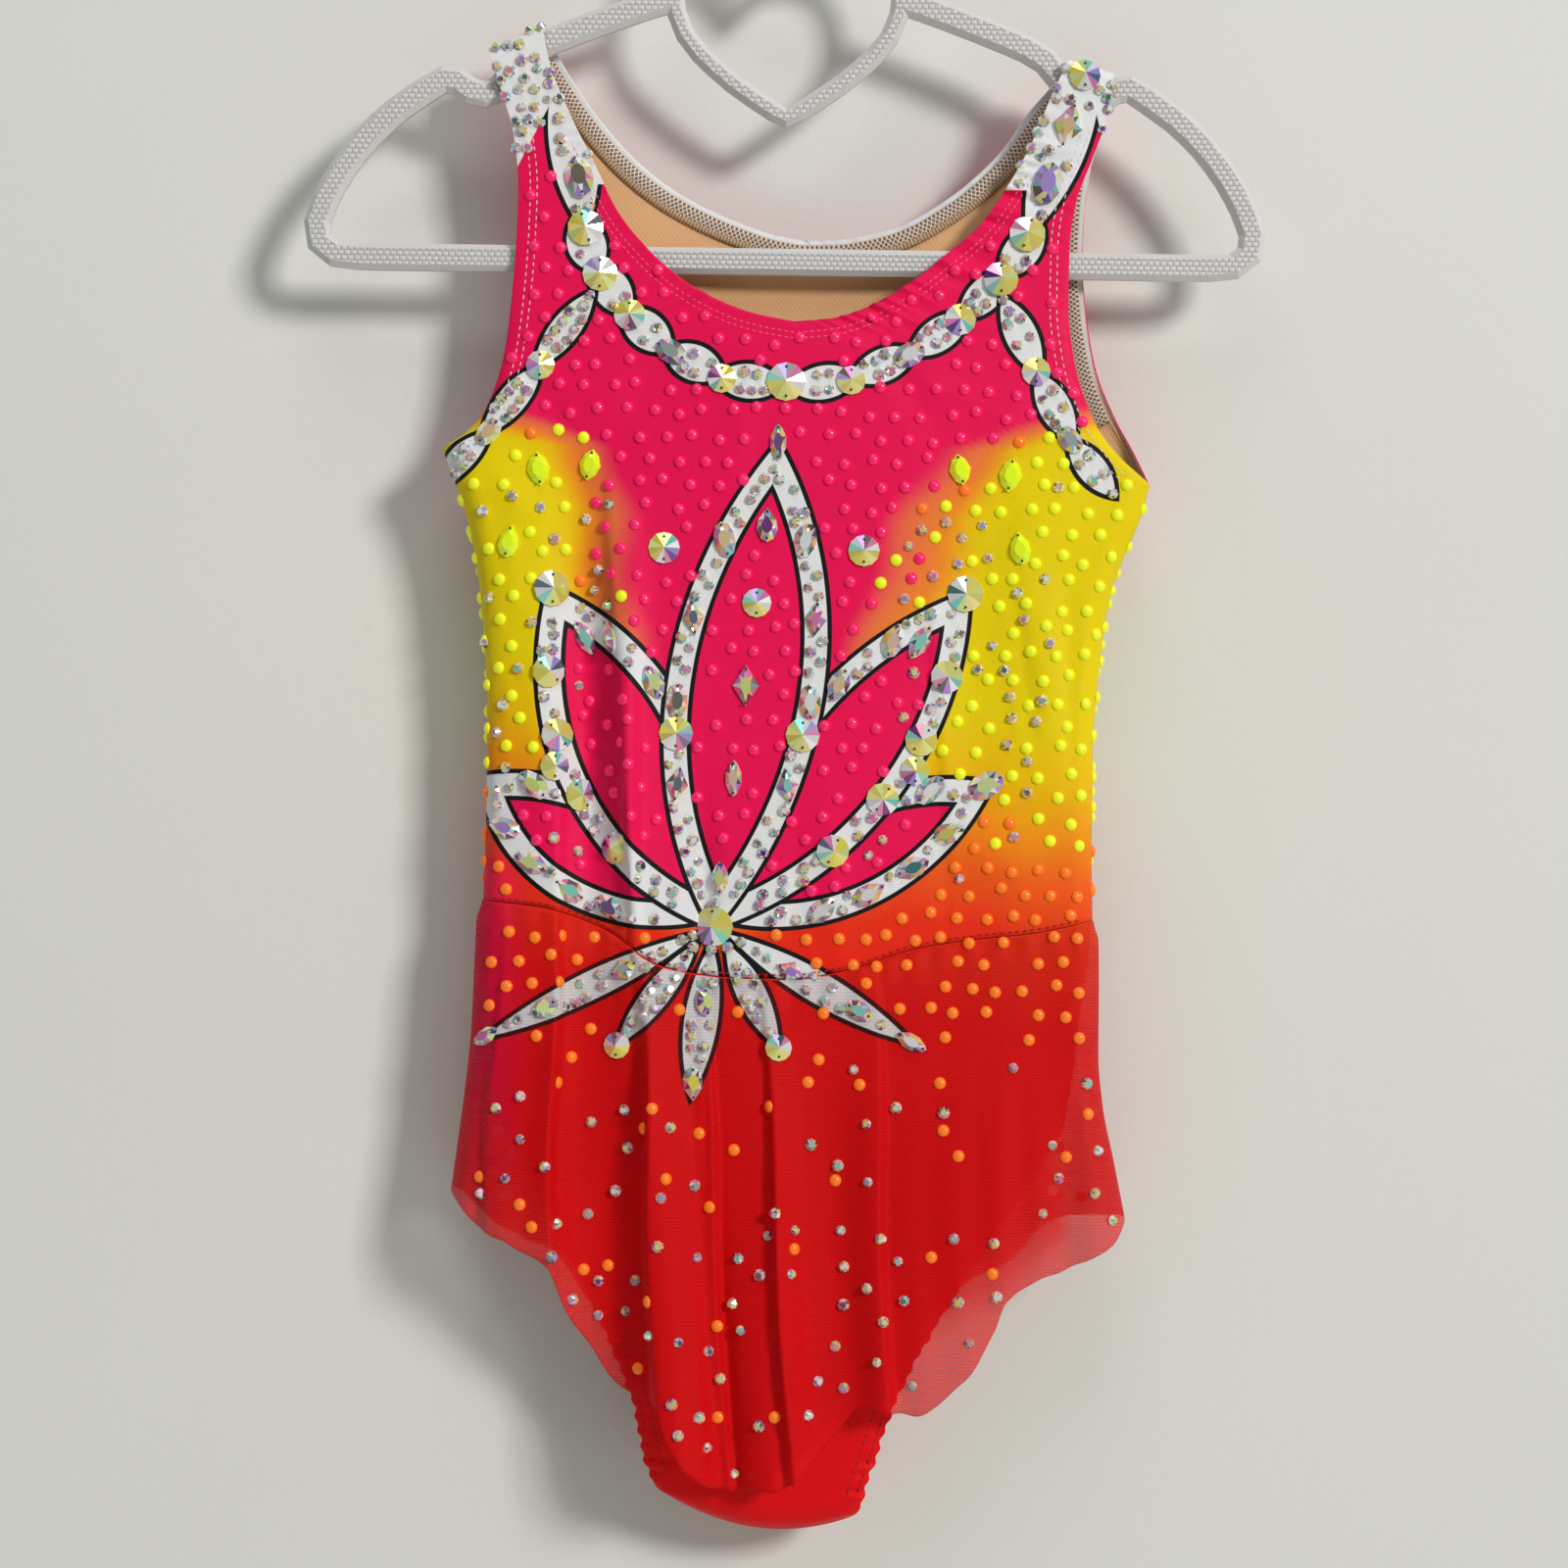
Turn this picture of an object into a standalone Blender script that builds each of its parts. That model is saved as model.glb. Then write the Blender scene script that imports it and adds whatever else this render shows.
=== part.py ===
"""Rhythmic gymnastics leotard hung on a heart-shaped plastic hanger.

Metres, +Z up, the front faces -Y. The origin is where the hook is held, at the
top of the inside of its loop. Sizes below are in millimetres.
"""
import math
from collections import namedtuple

import bmesh
import bpy
from mathutils import Vector
from mathutils.bvhtree import BVHTree

MM = 0.001

# Walls and gaps
SEAM_GAP = 0.3
BODICE_WALL = 1.2
BRIEF_WALL = 1.2
SKIRT_WALL = 1.0
LINING_WALL = 1.0
ELASTIC_WALL = 1.0
SIDE_ROUND = 9.0
SKIRT_OUT = 1.7
FRONT = -1.0
BACK = 1.0

# Hanger
BAR_WIDTH = 11.0
HEART_WIDTH = 8.0
HOOK_WIDTH = 7.0
BAR_THICK = 7.0
BAR_CORNER = 2.2
HOOK_RADIUS = 21.5
HOOK_CENTRE_Z = -18.0

# Grids
LEFT_COLUMNS = 16
RIGHT_COLUMNS = 13
BACK_COLUMNS = 10
SIDE_COLUMNS = (0.0, 0.9, 2.6, 5.2, 9.0)
BODY_ROWS = 15
BACK_BODY_ROWS = 10
LINING_ROWS = 3
LINING_GAP = 0.6
LINING_INSET = 2.0
LINING_ARM_CUT = 25.0
SKIRT_COLUMNS = 40
SKIRT_ROWS = 11
BACK_SKIRT_COLUMNS = 26
BACK_SKIRT_ROWS = 8
ELASTIC_NEAR = 3.0
ELASTIC_FAR = 10.0
ELASTIC_GAP = 0.6
NEAR_STEP = 3.5
LEG_ELASTIC_FAR = 8.5

# Upper halves: each row runs from the armhole to the neckline
Fan = namedtuple("Fan", "share arm_x arm_z neck_x neck_z")
FRONT_LEFT = (
    Fan(0.00, -123.9, -108.3, -101.8, -98.7),
    Fan(0.12, -117.5, -128.0, -97.3, -117.5),
    Fan(0.25, -112.3, -146.0, -88.5, -138.0),
    Fan(0.38, -110.1, -168.0, -78.5, -157.5),
    Fan(0.50, -110.7, -190.0, -69.5, -175.5),
    Fan(0.62, -112.3, -213.0, -58.5, -189.5),
    Fan(0.74, -115.2, -236.0, -45.0, -202.0),
    Fan(0.86, -122.5, -258.0, -27.0, -212.8),
    Fan(0.93, -130.5, -267.8, -12.0, -218.3),
    Fan(1.00, -140.6, -274.8, 4.5, -221.5),
)
FRONT_RIGHT = (
    Fan(0.00, 135.5, -115.0, 116.8, -109.6),
    Fan(0.12, 131.9, -136.0, 109.3, -126.0),
    Fan(0.25, 126.5, -152.0, 101.0, -146.5),
    Fan(0.38, 119.9, -171.0, 91.5, -164.0),
    Fan(0.50, 117.6, -190.0, 80.5, -180.0),
    Fan(0.62, 117.5, -213.0, 67.0, -192.2),
    Fan(0.74, 120.3, -235.5, 51.5, -204.6),
    Fan(0.86, 128.5, -259.0, 33.5, -215.3),
    Fan(0.93, 137.5, -272.0, 19.5, -219.9),
    Fan(1.00, 152.8, -285.7, 4.5, -221.5),
)
BACK_LEFT = (
    Fan(0.00, -123.9, -108.3, -101.8, -98.7),
    Fan(0.12, -117.0, -128.0, -93.0, -113.5),
    Fan(0.25, -111.5, -147.0, -84.5, -126.5),
    Fan(0.38, -109.3, -168.0, -74.0, -140.0),
    Fan(0.50, -109.5, -190.0, -61.5, -153.0),
    Fan(0.62, -111.5, -213.0, -47.0, -164.0),
    Fan(0.74, -114.7, -236.0, -30.5, -172.8),
    Fan(0.86, -122.0, -258.0, -14.0, -179.2),
    Fan(0.93, -130.0, -267.5, -3.5, -182.3),
    Fan(1.00, -140.6, -274.8, 8.0, -184.2),
)
BACK_RIGHT = (
    Fan(0.00, 135.5, -115.0, 116.8, -109.6),
    Fan(0.12, 132.5, -134.0, 110.0, -119.5),
    Fan(0.25, 127.5, -153.0, 101.5, -129.5),
    Fan(0.38, 125.0, -172.5, 90.5, -145.5),
    Fan(0.50, 124.4, -191.5, 77.5, -158.8),
    Fan(0.62, 126.0, -212.0, 63.0, -169.7),
    Fan(0.74, 130.3, -236.0, 46.5, -178.6),
    Fan(0.86, 139.0, -258.0, 30.5, -182.7),
    Fan(0.93, 146.0, -271.0, 20.0, -184.0),
    Fan(1.00, 152.8, -285.7, 8.0, -184.2),
)

# How far each row stands off the hanger: at the armhole, on the panel, and the crown
Depth = namedtuple("Depth", "share arm full crown")
FRONT_DEPTH = (
    Depth(0.000, 0.15, 0.15, 0.0),
    Depth(0.006, 3.30, 3.30, 0.0),
    Depth(0.013, 4.60, 4.60, 0.0),
    Depth(0.025, 5.80, 5.80, 0.0),
    Depth(0.050, 6.60, 6.60, 0.0),
    Depth(0.150, 6.80, 7.00, 0.0),
    Depth(0.500, 6.80, 7.40, 0.3),
    Depth(0.740, 6.00, 8.60, 1.0),
    Depth(0.860, 4.60, 9.20, 1.6),
    Depth(0.930, 3.00, 9.60, 2.0),
    Depth(1.000, 0.15, 10.00, 2.4),
)
BACK_DEPTH = (
    Depth(0.000, 0.15, 0.15, 0.0),
    Depth(0.006, 3.60, 3.60, 0.0),
    Depth(0.013, 5.20, 5.20, 0.0),
    Depth(0.025, 7.00, 7.00, 0.0),
    Depth(0.050, 8.20, 8.20, 0.0),
    Depth(0.150, 8.80, 8.80, 0.0),
    Depth(0.500, 8.60, 9.00, 0.2),
    Depth(0.740, 8.00, 9.60, 0.6),
    Depth(0.860, 6.40, 10.00, 1.0),
    Depth(0.930, 4.00, 10.40, 1.4),
    Depth(1.000, 0.15, 10.80, 1.8),
)
FAN_ROWS = (0.0, 0.006, 0.014, 0.03, 0.06, 0.15, 0.25, 0.35, 0.45, 0.55, 0.65, 0.75,
            0.83, 0.89, 0.95, 1.0)
BACK_FAN_ROWS = (0.0, 0.006, 0.014, 0.03, 0.06, 0.15, 0.27, 0.39, 0.51, 0.63, 0.75, 0.85,
                 0.93, 1.0)
LINING_FAN_ROWS = (0.06, 0.15, 0.27, 0.39, 0.51, 0.63, 0.75, 0.85, 0.93, 1.0)

# Body of the bodice, from the armpits to the waist seam
Body = namedtuple("Body", "share left_x right_x full crown")
FRONT_BODY = (
    Body(0.00, -140.6, 152.8, 10.0, 2.4),
    Body(0.08, -134.8, 149.0, 10.2, 2.8),
    Body(0.16, -129.8, 143.0, 10.4, 3.2),
    Body(0.26, -125.8, 137.0, 10.6, 3.6),
    Body(0.40, -122.6, 133.4, 10.6, 3.8),
    Body(0.62, -120.4, 130.8, 10.6, 3.6),
    Body(0.82, -120.4, 130.8, 10.4, 3.0),
    Body(1.00, -121.2, 131.6, 10.2, 2.6),
)
BACK_BODY = (
    Body(0.00, -140.6, 152.8, 10.8, 1.8),
    Body(0.08, -134.8, 149.0, 11.0, 2.0),
    Body(0.16, -129.8, 143.0, 11.0, 2.2),
    Body(0.26, -125.8, 137.0, 11.0, 2.4),
    Body(0.40, -122.6, 133.4, 11.0, 2.4),
    Body(0.62, -120.4, 130.8, 11.0, 2.2),
    Body(0.82, -120.4, 130.8, 10.8, 2.0),
    Body(1.00, -121.2, 131.6, 10.6, 1.8),
)

# Height of the waist seam across the garment
Seam = namedtuple("Seam", "share height")
FRONT_WAIST = (
    Seam(0.0, -461.0),
    Seam(0.1, -463.5),
    Seam(0.2, -472.0),
    Seam(0.3, -487.0),
    Seam(0.4, -491.0),
    Seam(0.5, -491.5),
    Seam(0.6, -487.5),
    Seam(0.7, -479.0),
    Seam(0.8, -474.5),
    Seam(0.9, -471.5),
    Seam(1.0, -466.0),
)
BACK_WAIST = (
    Seam(0.0, -461.0),
    Seam(0.5, -470.0),
    Seam(1.0, -466.0),
)

# Folds of the hung front, each a line from top to bottom; lift is outward
Fold = namedtuple("Fold", "top_x top_z low_x low_z width lift")
FRONT_FOLDS = (
    Fold(-99.0, -318.0, -96.0, -430.0, 10.0, 2.6),
    Fold(-80.0, -300.0, -75.0, -480.0, 8.0, -3.6),
    Fold(-62.0, -325.0, -60.0, -505.0, 7.5, 4.2),
    Fold(-31.0, -425.0, -33.0, -540.0, 6.5, -2.8),
    Fold(101.0, -318.0, 113.0, -392.0, 11.0, 1.8),
    Fold(70.0, -425.0, 122.0, -470.0, 10.0, 1.4),
    Fold(-40.0, -236.0, -66.0, -262.0, 9.0, -1.2),
)
BACK_FOLDS = (
    Fold(-60.0, -300.0, -52.0, -480.0, 12.0, 2.4),
    Fold(-20.0, -330.0, -26.0, -500.0, 12.0, -2.6),
    Fold(34.0, -310.0, 30.0, -500.0, 13.0, 2.2),
    Fold(86.0, -330.0, 92.0, -470.0, 12.0, -1.8),
)

# Skirt: side seams from the waist down, and the hem from left to right
Skirt = namedtuple("Skirt", "share left_x right_x full crown")
FRONT_SKIRT = (
    Skirt(0.00, -123.6, 134.0, 12.5, 2.6),
    Skirt(0.20, -124.4, 134.6, 13.8, 3.0),
    Skirt(0.45, -125.4, 134.8, 15.0, 3.6),
    Skirt(0.62, -127.2, 136.8, 16.0, 3.8),
    Skirt(0.82, -130.0, 142.0, 17.0, 3.6),
    Skirt(1.00, -132.7, 146.6, 17.6, 3.2),
)
BACK_SKIRT = (
    Skirt(0.00, -123.6, 134.0, 13.0, 1.8),
    Skirt(0.20, -124.4, 134.6, 13.8, 2.2),
    Skirt(0.45, -125.4, 134.8, 14.6, 2.6),
    Skirt(0.62, -127.2, 136.8, 15.4, 2.8),
    Skirt(0.82, -130.0, 142.0, 16.2, 2.8),
    Skirt(1.00, -132.7, 146.6, 17.0, 2.6),
)
Hem = namedtuple("Hem", "x height")
FRONT_HEM = (
    Hem(-132.7, -581.0),
    Hem(-119.0, -594.0),
    Hem(-99.0, -604.0),
    Hem(-89.0, -611.0),
    Hem(-85.0, -624.0),
    Hem(-75.0, -641.0),
    Hem(-59.0, -660.5),
    Hem(-46.0, -664.0),
    Hem(-41.0, -680.0),
    Hem(-31.0, -692.5),
    Hem(-16.0, -700.0),
    Hem(3.0, -699.5),
    Hem(15.3, -690.6),
    Hem(30.4, -673.3),
    Hem(37.0, -666.0),
    Hem(59.1, -668.0),
    Hem(79.1, -654.0),
    Hem(91.8, -633.7),
    Hem(96.0, -622.0),
    Hem(106.5, -614.8),
    Hem(129.4, -605.2),
    Hem(141.0, -598.0),
    Hem(146.6, -589.6),
)
BACK_HEM = (
    Hem(-132.7, -581.0),
    Hem(-112.0, -600.0),
    Hem(-92.0, -610.0),
    Hem(-70.0, -640.0),
    Hem(-40.0, -672.0),
    Hem(0.0, -690.0),
    Hem(40.0, -674.0),
    Hem(64.0, -648.0),
    Hem(81.5, -621.0),
    Hem(98.7, -611.0),
    Hem(120.0, -592.0),
    Hem(146.6, -589.6),
)

# Flutes of the skirt: where each lies at the waist and at the hem
Flute = namedtuple("Flute", "waist_x hem_x width lift")
FRONT_FLUTES = (
    Flute(-100.0, -105.0, 17.0, 6.0),
    Flute(-74.0, -68.0, 13.0, -7.0),
    Flute(-52.0, -35.0, 9.5, 8.0),
    Flute(-34.0, -16.5, 7.0, -6.5),
    Flute(-10.0, 2.0, 10.0, 6.5),
    Flute(20.0, 28.0, 12.0, -4.5),
    Flute(74.0, 76.0, 30.0, 6.0),
    Flute(112.0, 120.0, 9.0, -3.0),
)
BACK_FLUTES = (
    Flute(-84.0, -92.0, 14.0, 5.0),
    Flute(-52.0, -56.0, 12.0, -5.0),
    Flute(-18.0, -22.0, 14.0, 6.0),
    Flute(16.0, 16.0, 12.0, -5.0),
    Flute(52.0, 54.0, 14.0, 6.0),
    Flute(92.0, 100.0, 13.0, -4.0),
)
FLUTE_GROWTH = 1.15
FLUTE_CROWDING = 1.4
FLUTE_REACH = 6.0

# Brief: rows from the waist seam to the crotch seam at the bottom fold
Brief = namedtuple("Brief", "share left_x left_z right_x right_z edge full crown sag")
FRONT_BRIEF = (
    Brief(0.00, -121.2, -461.3, 131.6, -466.3, 0.15, 10.2, 2.6, 0.0),
    Brief(0.14, -118.4, -500.0, 127.0, -505.0, 0.15, 9.8, 2.2, 0.0),
    Brief(0.28, -115.5, -546.0, 121.0, -551.0, 0.15, 9.4, 2.0, 0.0),
    Brief(0.33, -108.0, -561.0, 112.5, -566.0, 4.20, 9.4, 2.0, 0.0),
    Brief(0.42, -96.0, -586.0, 97.5, -591.0, 6.60, 9.4, 1.8, 0.0),
    Brief(0.54, -79.5, -616.0, 77.5, -620.0, 7.40, 9.4, 1.6, 0.0),
    Brief(0.66, -64.5, -646.0, 61.0, -648.0, 7.60, 9.4, 1.4, 0.0),
    Brief(0.76, -55.5, -669.0, 50.5, -671.0, 7.80, 9.4, 1.2, -1.0),
    Brief(0.86, -51.5, -688.0, 44.0, -691.0, 7.80, 9.2, 1.0, -3.0),
    Brief(0.94, -48.2, -698.0, 39.6, -705.0, 7.40, 8.8, 0.6, -7.0),
    Brief(0.97, -46.4, -702.0, 38.4, -710.5, 5.40, 6.4, 0.2, -9.0),
    Brief(1.00, -44.6, -704.4, 37.2, -713.6, 0.15, 0.15, 0.0, -11.0),
)
BRIEF_ROWS = (0.0, 0.08, 0.18, 0.28, 0.33, 0.42, 0.52, 0.62, 0.72, 0.81, 0.88, 0.94, 0.97,
              0.99, 1.0)
LEG_ROWS = (0.33, 0.37, 0.42, 0.52, 0.62, 0.72, 0.81, 0.88, 0.94, 0.97)
BRIEF_WAIST_FADE = 0.28

# Large sewn-on stones, raised on the front: on the straps by row and share across
StrapStone = namedtuple("StrapStone", "share across lift")
STRAP_STONES = (
    StrapStone(0.11, 0.45, 3.2),
    StrapStone(0.27, 0.60, 3.4),
    StrapStone(0.43, 0.68, 3.6),
    StrapStone(0.59, 0.70, 3.6),
    StrapStone(0.75, 0.62, 3.4),
)
# On the body: across from the centre line, mirrored, and down from the neckline
BodyStone = namedtuple("BodyStone", "across down lift")
BODY_STONES = (
    BodyStone(0.0, 34.0, 3.6),
    BodyStone(0.0, 82.0, 3.8),
    BodyStone(41.0, 94.0, 3.4),
    BodyStone(69.0, 130.0, 3.4),
    BodyStone(74.0, 184.0, 3.2),
    BodyStone(0.0, 150.0, 3.2),
    BodyStone(22.0, 170.0, 3.0),
    BodyStone(0.0, 232.0, 3.8),
)
NECK_CENTRE_X = 4.5
NECK_CENTRE_Z = -221.5
CENTRE_LEAN = 0.119

# Hanger centre lines on the right side, mirrored to the left
Line = namedtuple("Line", "x z")
ARM_LINE = (
    Line(47.0, -86.5),
    Line(58.0, -90.0),
    Line(78.4, -97.4),
    Line(99.3, -105.8),
    Line(107.0, -110.4),
    Line(113.5, -118.0),
    Line(119.0, -125.2),
    Line(125.0, -127.6),
    Line(131.0, -126.2),
    Line(136.5, -122.4),
    Line(142.0, -121.6),
    Line(150.0, -126.4),
    Line(161.0, -134.2),
    Line(173.0, -145.6),
    Line(183.0, -158.6),
    Line(190.2, -171.6),
    Line(193.8, -181.4),
    Line(192.6, -189.6),
    Line(186.4, -194.4),
    Line(176.0, -195.4),
    Line(120.0, -195.4),
    Line(60.0, -195.4),
    Line(0.0, -195.4),
)
HEART_LINE = (
    Line(0.0, -135.6),
    Line(5.0, -133.2),
    Line(22.5, -121.5),
    Line(36.0, -109.6),
    Line(42.4, -101.6),
    Line(46.0, -92.6),
    Line(47.2, -82.0),
    Line(45.0, -71.6),
    Line(39.0, -63.8),
    Line(30.0, -60.0),
    Line(20.0, -60.6),
    Line(10.4, -65.6),
    Line(3.6, -72.6),
    Line(0.0, -77.6),
)
HOOK_STEM_LOW = -79.0
HOOK_STEM_TOP = -56.0
HOOK_JOIN_DEGREES = -52.0
HOOK_END_DEGREES = 222.0

Look = namedtuple("Look", "red green blue rough")
LOOKS = {
    "bodice_front": Look(0.75, 0.05, 0.12, 0.55),
    "bodice_back": Look(0.75, 0.05, 0.12, 0.55),
    "back_lining": Look(0.44, 0.25, 0.13, 0.7),
    "neck_elastic": Look(0.55, 0.40, 0.27, 0.75),
    "armhole_elastic_left": Look(0.55, 0.40, 0.27, 0.75),
    "armhole_elastic_right": Look(0.55, 0.40, 0.27, 0.75),
    "skirt_front": Look(0.68, 0.01, 0.015, 0.6),
    "skirt_back": Look(0.66, 0.01, 0.015, 0.6),
    "brief_front": Look(0.62, 0.01, 0.015, 0.5),
    "brief_back": Look(0.62, 0.01, 0.015, 0.5),
    "leg_elastic_left": Look(0.6, 0.01, 0.015, 0.6),
    "leg_elastic_right": Look(0.6, 0.01, 0.015, 0.6),
    "hanger": Look(0.55, 0.53, 0.51, 0.4),
}


def clear_scene():
    """Remove every object of the opening scene."""
    for thing in list(bpy.data.objects):
        bpy.data.objects.remove(thing, do_unlink=True)


def curve(rows, column, at):
    """Smooth value of a table's column at a place in its first column, with no overshoot."""
    keys = [row[0] for row in rows]
    values = [getattr(row, column) for row in rows]
    at = min(max(at, keys[0]), keys[-1])
    last = len(keys) - 2
    place = 0
    while place < last and at > keys[place + 1]:
        place += 1
    steps = [(values[k + 1] - values[k]) / (keys[k + 1] - keys[k]) for k in range(last + 1)]

    def slope(knot):
        if knot == 0:
            return steps[0]
        if knot > last:
            return steps[last]
        before, after = steps[knot - 1], steps[knot]
        if before * after <= 0.0:
            return 0.0
        return 2.0 * before * after / (before + after)

    span = keys[place + 1] - keys[place]
    f = (at - keys[place]) / span
    rise = f * f * (3.0 - 2.0 * f)
    lead = span * slope(place) * f * (1.0 - f) * (1.0 - f)
    tail = span * slope(place + 1) * f * f * (f - 1.0)
    return values[place] * (1.0 - rise) + values[place + 1] * rise + lead + tail


def mix(start, end, share):
    """Value part of the way from start to end."""
    return start + (end - start) * share


def side_round(distance, radius):
    """Share of full depth reached at a distance in from the side seam."""
    share = min(max(distance / radius, 0.0), 1.0)
    return math.sqrt(1.0 - (1.0 - share) ** 2)


def fold_lift(folds, x, z):
    """Outward lift of all the folds at a point of the garment."""
    lift = 0.0
    for fold in folds:
        along_x, along_z = fold.low_x - fold.top_x, fold.low_z - fold.top_z
        length = math.hypot(along_x, along_z)
        share = ((x - fold.top_x) * along_x + (z - fold.top_z) * along_z) / length ** 2
        held = min(max(share, 0.0), 1.0)
        off_x = x - fold.top_x - along_x * held
        off_z = z - fold.top_z - along_z * held
        reach = (off_x ** 2 + (0.35 * off_z) ** 2) / fold.width ** 2
        fade = math.sin(math.pi * min(max(0.12 + 0.76 * held, 0.0), 1.0))
        lift += fold.lift * fade * math.exp(-reach)
    return lift


def fan_point(fan, depths, folds, face, share, across):
    """Point of an upper half, by row share and share from armhole to neckline."""
    arm_x, arm_z = curve(fan, "arm_x", share), curve(fan, "arm_z", share)
    x = mix(arm_x, curve(fan, "neck_x", share), across)
    z = mix(arm_z, curve(fan, "neck_z", share), across)
    edge = curve(depths, "arm", share)
    full = curve(depths, "full", share)
    full += curve(depths, "crown", share) * math.sin(0.5 * math.pi * across)
    round_share = side_round(abs(x - arm_x), SIDE_ROUND)
    y = mix(edge, full, round_share) + fold_lift(folds, x, z) * round_share
    return Vector((x, face * y, z))


def body_point(rows, waist, left, right, folds, face, share, across):
    """Point of the body below the armpits, by share down and share from left to right."""
    left_x, right_x = curve(rows, "left_x", share), curve(rows, "right_x", share)
    x = mix(left_x, right_x, across)
    if across < 0.5:
        top = mix(left[-1].arm_z, left[-1].neck_z, 2.0 * across)
    else:
        top = mix(right[-1].arm_z, right[-1].neck_z, 2.0 * (1.0 - across))
    z = mix(top, curve(waist, "height", across), share)
    full = curve(rows, "full", share)
    full += curve(rows, "crown", share) * math.sin(math.pi * across)
    round_share = side_round(min(x - left_x, right_x - x), SIDE_ROUND)
    y = mix(0.5 * SEAM_GAP, full, round_share) + fold_lift(folds, x, z) * round_share
    return Vector((x, face * y, z))


def side_spaced(width, count):
    """Shares across a half panel, close together where the side is rounded."""
    near = [distance / width for distance in SIDE_COLUMNS]
    rest = count + 1 - len(near)
    start = near[-1]
    return near + [mix(start, 1.0, (k + 1) / rest) for k in range(rest)]


def body_shares_across(left, right, columns):
    """Shares across a whole panel below the armpits, from left to right."""
    near = side_spaced(abs(left[-1].neck_x - left[-1].arm_x), columns[0])
    far = side_spaced(abs(right[-1].neck_x - right[-1].arm_x), columns[1])
    return [0.5 * u for u in near] + [1.0 - 0.5 * u for u in reversed(far[:-1])]


def grid_mesh(bm, rows):
    """Faces between rows of points of equal length; gives the rows of bmesh points."""
    made = [[bm.verts.new(point) for point in row] for row in rows]
    join_rows(bm, made)
    return made


def join_rows(bm, made):
    """Quads between neighbouring rows of bmesh points."""
    for upper, lower in zip(made, made[1:]):
        for k in range(len(upper) - 1):
            bm.faces.new((upper[k], lower[k], lower[k + 1], upper[k + 1]))


def face_out(bm, face):
    """Turn an open sheet so that most of it faces the front or the back."""
    bm.normal_update()
    facing = sum(f.normal.y * f.calc_area() for f in bm.faces)
    if facing * face < 0.0:
        bmesh.ops.reverse_faces(bm, faces=bm.faces[:])


def thicken(bm, wall):
    """Give a sheet its wall on the inside; its own points stay as the outer ones."""
    outer = bm.verts[:]
    bmesh.ops.solidify(bm, geom=bm.faces[:], thickness=wall)
    return outer


def keep_side(bm, face, gap=SEAM_GAP):
    """Hold every point on its own side of the side seams."""
    for vert in bm.verts:
        if face * vert.co.y < 0.5 * gap:
            vert.co.y = face * 0.5 * gap


def finish(bm, name, collection):
    """Put a piece in the scene in metres with its own material."""
    bmesh.ops.recalc_face_normals(bm, faces=bm.faces[:])
    bmesh.ops.scale(bm, vec=(MM, MM, MM), verts=bm.verts[:])
    mesh = bpy.data.meshes.new(name)
    bm.to_mesh(mesh)
    bm.free()
    piece = bpy.data.objects.new(name, mesh)
    look = LOOKS[name]
    material = bpy.data.materials.new(name)
    material.use_nodes = True
    shader = material.node_tree.nodes["Principled BSDF"]
    shader.inputs["Base Color"].default_value = (look.red, look.green, look.blue, 1.0)
    shader.inputs["Roughness"].default_value = look.rough
    shader.inputs["Metallic"].default_value = 0.0
    mesh.materials.append(material)
    collection.objects.link(piece)
    return piece


def bodice_sheet(left, right, depths, body, waist, folds, face, columns, fan_rows, body_shares,
                 inward=0.0, inset=0.0):
    """Sheet of a bodice panel: two upper halves that run into one body."""
    bm = bmesh.new()
    left_across = side_spaced(abs(left[-1].neck_x - left[-1].arm_x), columns[0])
    right_across = side_spaced(abs(right[-1].neck_x - right[-1].arm_x), columns[1])

    def place(function, share, across):
        step = 0.002
        centre = function(share, across)
        if inward == 0.0:
            return centre
        low, high = max(share - step, 0.0), min(share + step, 1.0)
        near, far = max(across - step, 0.0), min(across + step, 1.0)
        down = function(high, across) - function(low, across)
        over = function(share, far) - function(share, near)
        normal = over.cross(down).normalized()
        if normal.y * face < 0.0:
            normal = -normal
        return centre - normal * inward

    def fan_rows_of(fan, across):
        rows = []
        for share in fan_rows:
            width = math.hypot(curve(fan, "neck_x", share) - curve(fan, "arm_x", share),
                               curve(fan, "neck_z", share) - curve(fan, "arm_z", share))
            arm_cut = inset * (1.0 + LINING_ARM_CUT * max(share - 0.7, 0.0)) / width
            neck_cut = inset / width * (1.0 - share ** 6)
            rows.append([place(lambda s, u: fan_point(fan, depths, folds, face, s, u), share,
                               mix(arm_cut, 1.0 - neck_cut, u)) for u in across])
        return rows

    left_rows = grid_mesh(bm, fan_rows_of(left, left_across))
    right_points = [list(reversed(row)) for row in fan_rows_of(right, right_across)]
    shared = left_rows[-1][-1]
    right_rows = [[bm.verts.new(point) for point in row] for row in right_points[:-1]]
    right_rows.append([shared] + [bm.verts.new(point) for point in right_points[-1][1:]])
    join_rows(bm, right_rows)
    across = body_shares_across(left, right, columns)
    width = body[0].right_x - body[0].left_x
    cut = (1.0 + 0.3 * LINING_ARM_CUT) * inset / width
    body_rows = [left_rows[-1] + right_rows[-1][1:]]
    for share in body_shares:
        row = [place(lambda s, v: body_point(body, waist, left, right, folds, face, s, v), share,
                     mix(cut, 1.0 - cut, v)) for v in across]
        body_rows.append([bm.verts.new(point) for point in row])
    join_rows(bm, body_rows)
    face_out(bm, face)
    return bm


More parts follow.
